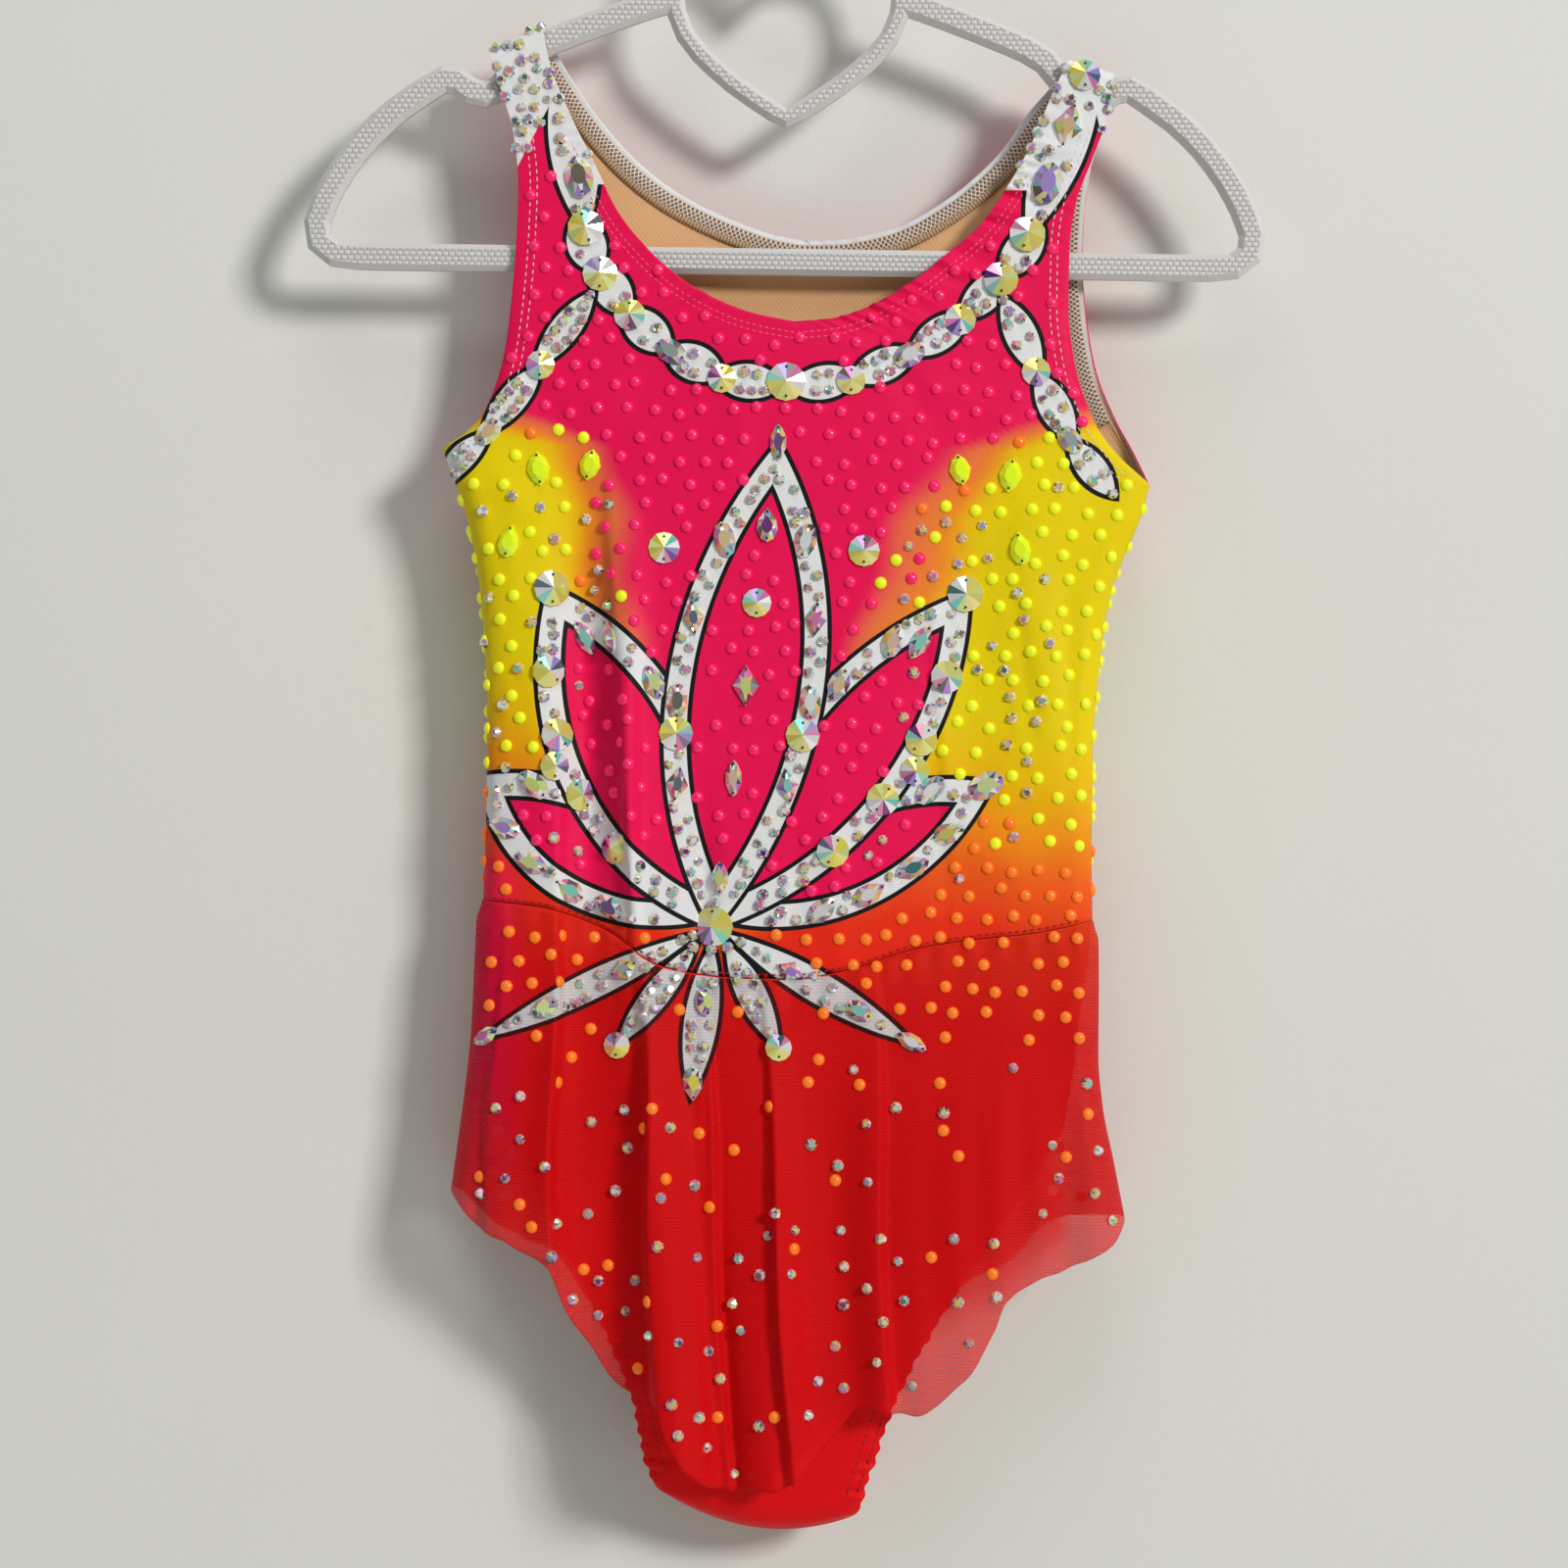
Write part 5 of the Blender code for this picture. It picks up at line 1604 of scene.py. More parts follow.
@dataclass
class Elastic:
    """Elastic lying on the inside of the back along an edge.

    Args:
        name: name of the piece.
        line: edge line as X and Z places.
        turn: 1 or -1, which way the panel lies from the line.
        near, far: distances of its edges from the line.
        gap: clearance over the cloth.
    """

    name: str
    line: Sequence
    turn: float
    near: float = 2.9
    far: float = 9.8
    gap: float = 1.3

    def build(self, lining: Shell, cover: Shell, material: bpy.types.Material) -> Shell:
        """Make the piece on the lining, or on the cover where the lining ends.

        Args:
            lining: the lining's shell.
            cover: the back bodice's shell.
            material: its material.

        Returns:
            Its shell.
        """
        shell = Shell(self.name, Side.BACK, ELASTIC_WALL)
        rows, weft, run = [], [], 0.0
        ahead = Vector((0.0, 1.0, 0.0))
        lines = [offset_line(self.line, mix(self.near, self.far, s), self.turn)
                 for s in ELASTIC_ACROSS]
        for k in range(len(self.line)):
            run += math.dist(self.line[k], self.line[max(k - 1, 0)])
            row = []
            for line, sink in zip(lines, ELASTIC_SINK):
                start = Vector((line[k][0], -3.0, line[k][1]))
                hits = [hit for hit in (lining.cast(start, ahead), cover.cast(start, ahead)) if hit]
                if not hits:
                    break
                y = min(hits[0][0].y, hits[-1][0].y - 1.3)
                row.append((line[k][0], y - self.gap + sink, line[k][1]))
            if len(row) == len(lines):
                rows.append(row)
                weft += [(run, mix(self.near, self.far, s)) for s in ELASTIC_ACROSS]
        shell.block(rows, weft)
        shell.close([material])
        return shell


def offset_line(line: Sequence, distance: float, turn: float) -> list:
    """Line moved sideways in the X and Z plane.

    Args:
        line: X and Z places.
        distance: how far, in millimetres.
        turn: 1 or -1, which way.

    Returns:
        The moved places.
    """
    made = []
    for k, (x, z) in enumerate(line):
        before, after = line[max(k - 1, 0)], line[min(k + 1, len(line) - 1)]
        along_x, along_z = after[0] - before[0], after[1] - before[1]
        reach = turn * distance / (math.hypot(along_x, along_z) or 1.0)
        made.append((x - along_z * reach, z + along_x * reach))
    return made


def edge_line(rows: Sequence, which: str, shares: Iterable[float]) -> list:
    """Places along an armhole, neckline or leg edge of a table."""
    return [(curve(rows, which + "_x", s), curve(rows, which + "_z", s)) for s in shares]


def neck_line(left: Sequence, right: Sequence, first: float) -> list:
    """Neckline from the left strap round to the right one."""
    shares = np.linspace(first, 1.0, 70)
    return edge_line(left, "neck", shares)[:-1] + edge_line(right, "neck", shares)[::-1]


def cut_point(cut: Cut, x: float, y: float) -> Place:
    """Point of a unit circle moved to the outline of a cut.

    Args:
        cut: the cut.
        x: X on the circle.
        y: Y on the circle.

    Returns:
        The moved point.
    """
    if cut is Cut.NAVETTE:
        x *= 1.0 - 0.42 * abs(y) ** 2.2
    elif cut is Cut.DROP:
        x *= 1.0 - 0.75 * max(y, 0.0) ** 1.5
    elif cut is Cut.RHOMBUS:
        scale = 1.0 / max(abs(x) + abs(y), 0.01)
        x, y = x * scale, y * scale
    elif cut is Cut.BLOCK:
        scale = 1.0 / max(abs(x), abs(y), 0.78 * (abs(x) + abs(y)))
        x, y = x * scale, y * scale
    return x, y


def gem_shape(stone: Stone, height: float, table: float, turns: int) -> bpy.types.Mesh:
    """Faceted stone standing on its flat back.

    Args:
        stone: its cut and size.
        height: height of the crown.
        table: size of the flat top, 0 for a pointed one.
        turns: facets round it.

    Returns:
        A mesh in millimetres.
    """
    bm = bmesh.new()
    bmesh.ops.create_cone(bm, cap_ends=True, segments=turns, radius1=1.0, radius2=table,
                          depth=height)
    top = [v for v in bm.verts if v.co.z > 0.0]
    bmesh.ops.rotate(bm, cent=(0, 0, 0), matrix=Matrix.Rotation(math.pi / turns, 3, "Z"),
                     verts=top)
    bmesh.ops.triangulate(bm, faces=[f for f in bm.faces if len(f.verts) == 4])
    base = [f for f in bm.faces if len(f.verts) == turns and f.calc_center_median().z < 0.0]
    girdle = bmesh.ops.extrude_face_region(bm, geom=base)
    bmesh.ops.delete(bm, geom=base, context="FACES_ONLY")
    low = [v for v in girdle["geom"] if isinstance(v, bmesh.types.BMVert)]
    bmesh.ops.translate(bm, vec=(0.0, 0.0, -0.35 * height - 0.2), verts=low)
    bmesh.ops.translate(bm, vec=(0.0, 0.0, 0.85 * height), verts=bm.verts[:])
    for vert in bm.verts:
        reach = math.hypot(vert.co.x, vert.co.y)
        if reach > 0.001:
            x, y = cut_point(stone.cut, vert.co.x / reach, vert.co.y / reach)
            vert.co.x, vert.co.y = 0.5 * stone.wide * x * reach, 0.5 * stone.long * y * reach
    bmesh.ops.recalc_face_normals(bm, faces=bm.faces[:])
    settle(bm)
    return template(bm, "gem")


def dome_shape(radius: float, height: float) -> bpy.types.Mesh:
    """Low closed dome standing on its flat back.

    Args:
        radius: its radius.
        height: its height.

    Returns:
        A mesh in millimetres.
    """
    bm = bmesh.new()
    bmesh.ops.create_uvsphere(bm, u_segments=10, v_segments=8, radius=radius)
    bmesh.ops.bisect_plane(bm, geom=bm.verts[:] + bm.edges[:] + bm.faces[:],
                           plane_co=(0.0, 0.0, -0.12 * radius), plane_no=(0.0, 0.0, 1.0),
                           clear_inner=True)
    bmesh.ops.holes_fill(bm, edges=[e for e in bm.edges if e.is_boundary])
    bmesh.ops.scale(bm, vec=(1.0, 1.0, height / radius), verts=bm.verts[:])
    bmesh.ops.recalc_face_normals(bm, faces=bm.faces[:])
    for face in bm.faces:
        face.smooth = len(face.verts) < 6
    settle(bm)
    return template(bm, "dome")


def bead_shape(length: float, width: float, height: float) -> bpy.types.Mesh:
    """Small long bead, for a stitch or a sewing hole.

    Args:
        length: its length.
        width: its width.
        height: its height.

    Returns:
        A mesh in millimetres.
    """
    bm = bmesh.new()
    bmesh.ops.create_icosphere(bm, subdivisions=1, radius=0.5)
    bmesh.ops.scale(bm, vec=(length, width, height), verts=bm.verts[:])
    for face in bm.faces:
        face.smooth = True
    return template(bm, "bead")


def settle(bm: bmesh.types.BMesh) -> None:
    """Put points and faces in one fixed order, so that each run tints them alike.

    Args:
        bm: the bmesh of a shape that stands on the origin.
    """

    def order(place: Vector) -> float:
        """Number that rises with the height, then round the axis."""
        turn = (math.atan2(place.y, place.x) + 0.01) % (2.0 * math.pi)
        return round(place.z * 1000.0) * 10.0 + turn

    bm.verts.sort(key=lambda vert: order(vert.co))
    bm.faces.sort(key=lambda face: order(face.calc_center_median()))


def template(bm: bmesh.types.BMesh, name: str) -> bpy.types.Mesh:
    """Mesh of a finished bmesh, which is freed.

    Args:
        bm: the bmesh.
        name: name of the mesh.

    Returns:
        The mesh.
    """
    mesh = bpy.data.meshes.new(name)
    bm.to_mesh(mesh)
    bm.free()
    return mesh


def standing(place: Vector, normal: Vector, turn: float = 0.0) -> Matrix:
    """Matrix that stands a shape on a surface, turned about its normal.

    Args:
        place: place on the surface.
        normal: its normal there.
        turn: turn in radians.

    Returns:
        The matrix.
    """
    up = normal.normalized()
    right = Vector((0.0, 0.0, 1.0)).cross(up)
    right = right.normalized() if right.length > 0.001 else Vector((1.0, 0.0, 0.0))
    basis = Matrix((right, up.cross(right), up)).transposed().to_4x4()
    return Matrix.Translation(place) @ basis @ Matrix.Rotation(turn, 4, "Z")


@dataclass
class Pile:
    """Joined mesh of many small pieces.

    Args:
        name: name of the piece.
        material: its material.
        bm: the mesh as it is built.
        tints: colour of each face so far.
    """

    name: str
    material: bpy.types.Material
    bm: bmesh.types.BMesh = field(default_factory=bmesh.new)
    tints: list = field(default_factory=list)

    def put(self, shape: bpy.types.Mesh, where: Matrix, tints: Sequence = ()) -> None:
        """Add a copy of a shape, with a colour for each face where it is tinted.

        Args:
            shape: the shape.
            where: where it stands.
            tints: colour of each face.
        """
        copy = shape.copy()
        copy.transform(where)
        self.bm.from_mesh(copy)
        bpy.data.meshes.remove(copy)
        self.tints += tints

    def close(self) -> bpy.types.Object:
        """Make the piece.

        Returns:
            The new object.
        """
        mesh = template(self.bm, self.name)
        mesh.transform(Matrix.Scale(MM, 4))
        if self.tints:
            layer = mesh.attributes.new("tint", "FLOAT_COLOR", "FACE")
            flat = np.array([(*tint, 1.0) for tint in self.tints], dtype=np.float32)
            layer.data.foreach_set("color", flat.ravel())
        mesh.materials.append(self.material)
        piece = bpy.data.objects.new(self.name, mesh)
        bpy.context.scene.collection.objects.link(piece)
        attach(piece, "root")
        LOG.info("%s: %d faces", self.name, len(mesh.polygons))
        return piece


@dataclass
class StoneWork:
    """Domes, crystals and sewn-on stones of the leotard, in millimetres.

    Args:
        front, back: shells of the bodice.
        skirt_front, skirt_back: shells of the skirt.
        dome_radius, dome_height: size of a dome.
        pitch, fall: spacing of the domes across and down.
        crystal_step: spacing of the crystals along a leaf.
        hole_wide: width of a sewing hole.
        taken: stones placed so far, as X, Z and reach.
    """

    front: Shell
    back: Shell
    skirt_front: Shell
    skirt_back: Shell
    dome_radius: float = 2.6
    dome_height: float = 1.7
    pitch: float = 11.2
    fall: float = 9.8
    crystal_step: float = 4.3
    hole_wide: float = 1.3
    taken: list = field(default_factory=list)

    def __post_init__(self) -> None:
        """Make the shapes that are copied, and seed the scatter."""
        self.rng = random.Random(SCATTER_SEED)
        crystal = Stone(0.0, 0.0, Cut.ROUND, 1.0, 1.0, 0.0)
        self.crystal = gem_shape(crystal, 0.36, 0.5, 8)
        self.dome = dome_shape(self.dome_radius, self.dome_height)
        self.hole = bead_shape(self.hole_wide, self.hole_wide, 0.7)

    def free(self, x: float, z: float, reach: float) -> bool:
        """True if no stone stands within reach."""
        return all((x - a) ** 2 + (z - b) ** 2 > (reach + r) ** 2 for a, b, r in self.taken)

    def surface(self, x: float, z: float) -> Spot | None:
        """Front cloth at X and Z: the bodice, or the skirt below the seam."""
        return self.front.spot(x, z) or self.skirt_front.spot(x, z)

    def band_stones(self) -> list[Stone]:
        """Stones along the white bands of the petals, where no other petal covers them.

        Returns:
            The stones.
        """
        made = []
        shapes = (Cut.ROUND, Cut.NAVETTE, Cut.OVAL, Cut.ROUND, Cut.DROP, Cut.RHOMBUS)
        for order, petal in enumerate(PETALS):
            for k, share in enumerate((0.30, 0.47, 0.64, 0.80)):
                for side in (-1.0, 1.0):
                    bow = leaf_bow(petal, share)
                    across, down = leaf_point(petal, share, side * (bow - 0.5 * BAND))
                    over = PETALS[order + 1:]
                    if across < 2.0 or any(leaf_distance(o, across, down) < 4.0 for o in over):
                        continue
                    cut = shapes[(2 * order + 3 * k + int(side)) % len(shapes)]
                    wide = 13.5 if cut is Cut.ROUND else 9.0
                    long = 13.5 if cut is Cut.ROUND else 15.0
                    lean = petal.angle + side * 22.0 * (share - 0.5) * 2.0
                    made.append(Stone(across, down, cut, wide, long, lean))
        return made

    def tints(self, shape: bpy.types.Mesh, banded: bool, pale: float) -> list:
        """Colours of a stone's facets: the rainbow coating's colours, with painted glints and
        painted dark reflections.

        Args:
            shape: the stone.
            banded: True if the colours follow one another round it.
            pale: how far the colours are mixed with grey.

        Returns:
            A colour for each face.
        """
        made = []
        phase = self.rng.random()
        for face in shape.polygons:
            turn = math.atan2(face.center.y, face.center.x) / (2.0 * math.pi) + phase
            order = ROUND_GLINTS[int(turn * len(ROUND_GLINTS)) % len(ROUND_GLINTS)]
            tone = GLINTS[order] if banded else self.rng.choice(GLINTS)
            made.append(tuple(mix(c, 0.95, pale * self.rng.random()) for c in tone))
        return made

    def big(self) -> None:
        """Large sewn-on stones, mirrored from side to side, with their sewing holes."""
        pile = Pile("sewn_stones", hard_material("rainbow glass with painted glints", GLASS, "tint"))
        neon_glass = hard_material("neon yellow glass", NEON_GLASS, (0.74, 0.93, 0.01))
        neon = Pile("neon_sewn_stones", neon_glass)
        # Near-black beads at the sewing holes: thread, with painted shade inside the holes.
        holes = Pile("sewing_holes", hard_material("thread with painted hole shade", THREAD, (0.05, 0.04, 0.05)))
        for stone in TIP_STONES + NEON_STONES + tuple(self.band_stones()):
            for side in (1.0,) if stone.across == 0.0 else (1.0, -1.0):
                x, z = design_point(side * stone.across, stone.down)
                spot = self.surface(x, z)
                if spot is None or not self.free(x, z, 0.30 * stone.wide):
                    continue
                self.sew(stone, side, spot, neon if stone in NEON_STONES else pile, holes)
                self.taken.append((x, z, 0.42 * max(stone.wide, stone.long)))
        for made in (pile, neon, holes):
            made.close()

    def sew(self, stone: Stone, side: float, spot: Spot, pile: Pile, holes: Pile) -> None:
        """One sewn stone and its two holes.

        Args:
            stone: its cut and size.
            side: 1 or -1, side of the centre line.
            spot: place and normal.
            pile: pile of the stones.
            holes: pile of the holes.
        """
        pointed = stone.cut is Cut.ROUND
        turns = {Cut.ROUND: 12, Cut.RHOMBUS: 8, Cut.BLOCK: 8}.get(stone.cut, 10)
        height = 1.2 + 0.13 * stone.wide
        shape = gem_shape(stone, height, 0.0 if pointed else 0.52, turns)
        where = standing(spot[0], spot[1], math.radians(-side * stone.turn))
        tinted = stone not in NEON_STONES
        pile.put(shape, where, self.tints(shape, pointed, 0.25) if tinted else ())
        level = (0.70 if pointed else 1.05) * height
        for end in (-1.0, 1.0):
            off = end * (0.5 * stone.long - (1.9 if pointed else 1.4))
            holes.put(self.hole, where @ Matrix.Translation((0.0, off, level)))

    def crystals(self) -> None:
        """Small rainbow crystals along the bands, the straps and the skirt."""
        pile = Pile("crystals", hard_material("rainbow crystal with painted glints", GLASS, "tint"))
        places = []
        for order, leaf in enumerate(LEAVES + PETALS):
            over = (LEAVES + PETALS)[order + 1:] if leaf.filled else PETALS
            for across, down in self.along(leaf):
                if all(leaf_distance(other, across, down) > 2.2 for other in over):
                    places += [(across, down)] + ([(-across, down)] if across > 1.5 else [])
        for _ in range(900):
            across, down = self.rng.uniform(76.0, 138.0), self.rng.uniform(-150.0, -58.0)
            if strap_white(across, down) > 1.5:
                places += [(across, down), (-across, down)]
        for across, down in places:
            x, z = design_point(across, down)
            wobble = self.rng.uniform(-0.6, 0.6)
            self.one(pile, x + wobble, z - wobble, 2.3)
        for _ in range(160):
            across, down = self.rng.uniform(58.0, 124.0), self.rng.uniform(66.0, 236.0)
            x, z = design_point(across * self.rng.choice((1.0, -1.0)), down)
            self.one(pile, x, z, 6.0)
        for _ in range(300):
            x, z = self.rng.uniform(-130.0, 144.0), self.rng.uniform(-695.0, -520.0)
            if self.rng.random() > 0.25 + 0.75 * float(ease((-540.0 - z) / 90.0)):
                continue
            if z > curve(FRONT_HEM, "height", x) + 6.0:
                self.one(pile, x, z, 8.0)
            spot = self.skirt_back.spot(-x, z)
            if spot is not None and z > curve(BACK_HEM, "height", -x) + 8.0:
                self.set_crystal(pile, spot)
        pile.close()

    def along(self, leaf: Leaf) -> list[Place]:
        """Places of crystals on a leaf: down both bands, or in a double row.

        Args:
            leaf: the leaf or petal.

        Returns:
            The places in the print.
        """
        count = int(leaf.length / self.crystal_step)
        made = []
        for k in range(count):
            share = (k + 0.5) / count
            bow = leaf_bow(leaf, share)
            if leaf.filled:
                wave = 2.3 if k % 2 else -2.3
                outer = bow - 0.5 * BAND
                offs = (outer + wave, outer - 0.6 * wave, -outer - wave, 0.6 * wave - outer)
                offs = offs if bow > BAND else (0.0,)
            else:
                offs = (0.5 * bow, -0.5 * bow) if bow > 4.4 else (0.0,)
            made += [leaf_point(leaf, share, off) for off in offs]
        return made

    def set_crystal(self, pile: Pile, spot: Spot) -> None:
        """One crystal at a place.

        Args:
            pile: pile of the crystals.
            spot: place and normal.
        """
        size = self.rng.choice((4.2, 4.7, 4.7, 5.1))
        where = standing(spot[0], spot[1], self.rng.uniform(0.0, 3.0)) @ Matrix.Scale(size, 4)
        pile.put(self.crystal, where, self.tints(self.crystal, False, 0.3))

    def one(self, pile: Pile, x: float, z: float, clear: float) -> None:
        """One crystal on the front if there is room.

        Args:
            pile: pile of the crystals.
            x: X of the place.
            z: Z of the place.
            clear: clearance from other stones.
        """
        spot = self.surface(x, z) if self.free(x, z, clear) else None
        if spot is not None and abs(spot[1].y) > 0.1:
            self.set_crystal(pile, spot)
            self.taken.append((x, z, 2.2))

    def domes(self) -> None:
        """Neon domes in a loose grid over the ground colours, front and back."""
        tones = {
            "pink": (0.95, 0.006, 0.13),
            "yellow": (0.86, 0.92, 0.004),
            "orange": (0.98, 0.19, 0.005),
        }
        piles = {key: Pile(key + "_domes", hard_material(key + " dome", NEON_DOME, tone))
                 for key, tone in tones.items()}
        for side in Side:
            for row in range(60):
                for k in range(29):
                    x = -160.0 + self.pitch * (k + 0.5 * (row % 2)) + self.rng.uniform(-2.0, 2.0)
                    z = -112.0 - self.fall * row + self.rng.uniform(-2.0, 2.0)
                    if side is Side.FRONT:
                        self.front_dome(piles, x, z)
                    else:
                        self.back_dome(piles, x, z)
        for shell in (self.front, self.back):
            for side in (-1.0, 1.0):
                self.side_domes(piles, shell, side)
        for pile in piles.values():
            pile.close()

    def choose(self, share: float, level: float) -> str:
        """Dome colour for a magenta share and a height.

        Args:
            share: share of magenta.
            level: height, tilted as the ground is.

        Returns:
            The colour's name.
        """
        share = share + self.rng.uniform(-1.0, 1.0)
        level = level + self.rng.uniform(-9.0, 9.0)
        if share > 0.0 and level > -500.0:
            return "pink"
        return "yellow" if level > -424.0 and share < -0.25 else "orange"

    def front_dome(self, piles: dict, x: float, z: float) -> None:
        """One dome on the front if the ground there is bare.

        Args:
            piles: piles by colour.
            x: X of the place.
            z: Z of the place.
        """
        across, down = design_place(x, z)
        if in_white(across, down) or not self.free(x, z, 2.6):
            return
        if self.front.spot(x, z) is None:
            thin = 0.30 + 0.56 * float(ease((-480.0 - z) / 60.0))
            if self.rng.random() < thin or z < curve(FRONT_HEM, "height", x) + 6.0:
                return
        ring = ((4.0, 0.0), (-4.0, 0.0), (0.0, 4.0), (0.0, -4.0))
        spot = self.surface(x, z)
        if spot is None or not all(self.surface(x + a, z + b) for a, b in ring):
            return
        inside = min(leaf_distance(petal, across, down) for petal in PETALS) < -BAND
        share = 2.0 if inside else float(magenta_share(np.array(x), np.array(z)))
        self.set_dome(piles[self.choose(share, z + GROUND_TILT * x)], spot)
        self.taken.append((x, z, 2.4))

    def back_dome(self, piles: dict, x: float, z: float) -> None:
        """One dome on the back.

        Args:
            piles: piles by colour.
            x: X of the place.
            z: Z of the place.
        """
        spot = self.back.spot(x, z)
        ring = ((5.0, 0.0), (-5.0, 0.0), (0.0, 5.0), (0.0, -5.0))
        if spot is None:
            if z > -470.0 or self.rng.random() < 0.8:
                return
            spot = self.skirt_back.spot(x, z)
            if spot is None or z < curve(BACK_HEM, "height", x) + 7.0:
                return
        elif not all(self.back.spot(x + a, z + b) for a, b in ring):
            return
        self.set_dome(piles[self.choose((z + 296.0) / 22.0, z + GROUND_TILT * x - 8.0)], spot)

    def side_domes(self, piles: dict, shell: Shell, side: float) -> None:
        """Domes down one rounded side, which break the outline.

        Args:
            piles: piles by colour.
            shell: front or back bodice.
            side: 1 or -1, side of the centre line.
        """
        z = -296.0
        while z > -456.0:
            start = Vector((side * 200.0, shell.side.value * self.rng.uniform(1.2, 4.5), z))
            spot = shell.cast(start, Vector((-side, 0.0, 0.0)))
            if spot is not None:
                colour = self.choose(-2.0, z + GROUND_TILT * spot[0].x)
                self.set_dome(piles[colour], spot)
            z -= self.rng.uniform(10.0, 19.0)

    def set_dome(self, pile: Pile, spot: Spot) -> None:
        """One dome at a place."""
        pile.put(self.dome, standing(spot[0], spot[1]))


@dataclass
class Stitching:
    """Rows of small stitches along seams and edges.

    Args:
        name: name of the piece.
        colour: thread colour.
        length: stitch length in millimetres.
        gap: gap between two stitches.
        width: thread width.
    """

    name: str
    colour: Tone
    length: float
    gap: float
    width: float

    def __post_init__(self) -> None:
        """Start an empty pile of stitches."""
        self.pile = Pile(self.name, hard_material(self.name + " thread", THREAD, self.colour))
        self.shape = bead_shape(1.0, self.width, 0.5)

    def run(self, line: Sequence, spot: Callable[[float, float], Spot | None]) -> None:
        """Stitches along a line of X and Z places on a surface.

        Args:
            line: the places.
            spot: finds a place on the surface.
        """
        steps = [math.dist(a, b) for a, b in zip(line, line[1:])]
        marks = np.concatenate([[0.0], np.cumsum(steps)])
        starts = np.arange(0.0, marks[-1] - self.length, self.length + self.gap)
        xs, zs = [p[0] for p in line], [p[1] for p in line]
        for at in starts:
            ends = [spot(float(np.interp(s, marks, xs)), float(np.interp(s, marks, zs)))
                    for s in (at, at + self.length)]
            if None not in ends:
                self.one(ends[0], ends[1])

    def one(self, start: Spot, end: Spot) -> None:
        """One stitch between two spots.

        Args:
            start: first spot.
            end: second spot.
        """
        along = end[0] - start[0]
        length = along.length
        if not 0.5 < length < 6.0:
            return
        along.normalize()
        side = start[1].cross(along).normalized()
        basis = Matrix((along, side, along.cross(side))).transposed().to_4x4()
        stretch = Matrix.Diagonal((length, 1.0, 1.0, 1.0))
        self.pile.put(self.shape, Matrix.Translation(start[0].lerp(end[0], 0.5)) @ basis @ stretch)


def stitch_all(front: Shell, back: Shell, briefs: Sequence[Shell]) -> None:
    """All the stitching that shows.

    Args:
        front: front bodice.
        back: back bodice.
        briefs: both brief halves.
    """
    white = Stitching("armhole_stitches", (0.86, 0.80, 0.80), 2.4, 0.8, 0.5)
    pink = Stitching("neckline_stitches", (0.95, 0.24, 0.36), 2.0, 0.7, 0.4)
    # The waist and leg thread is red thread darkened well below the cloth: painted shade along the
    # stitch rows.
    red = Stitching("waist_and_leg_stitches", (0.36, 0.004, 0.006), 2.2, 0.9, 0.9)
    shares = np.linspace(0.16, 0.97, 60)
    halves = ((FRONT_LEFT, 1.0, front), (FRONT_RIGHT, -1.0, front), (BACK_LEFT, 1.0, back),
              (BACK_RIGHT, -1.0, back))
    for fan, turn, shell in halves:
        for distance in (5.0, 7.8):
            white.run(offset_line(edge_line(fan, "arm", shares), distance, turn), shell.spot)
    for left, right, shell in ((FRONT_LEFT, FRONT_RIGHT, front), (BACK_LEFT, BACK_RIGHT, back)):
        for distance in (4.6, 7.0):
            pink.run(offset_line(neck_line(left, right, 0.3), distance, -1.0), shell.spot)
    for waist, shell, body in ((FRONT_WAIST, front, FRONT_BODY), (BACK_WAIST, back, BACK_BODY)):
        red.run([(mix(body[-1].left_x, body[-1].right_x, s), curve(waist, "height", s) + 1.4)
                 for s in np.linspace(0.02, 0.98, 90)], shell.spot)
    for brief in briefs:
        for turn, which in ((1.0, "left"), (-1.0, "right")):
            line = edge_line(BRIEF_ROWS, which, np.linspace(0.34, 0.955, 70))
            for distance in (2.6, 6.8):
                red.run(offset_line(line, distance, turn), brief.spot)
    for row in (white, pink, red):
        row.pile.close()


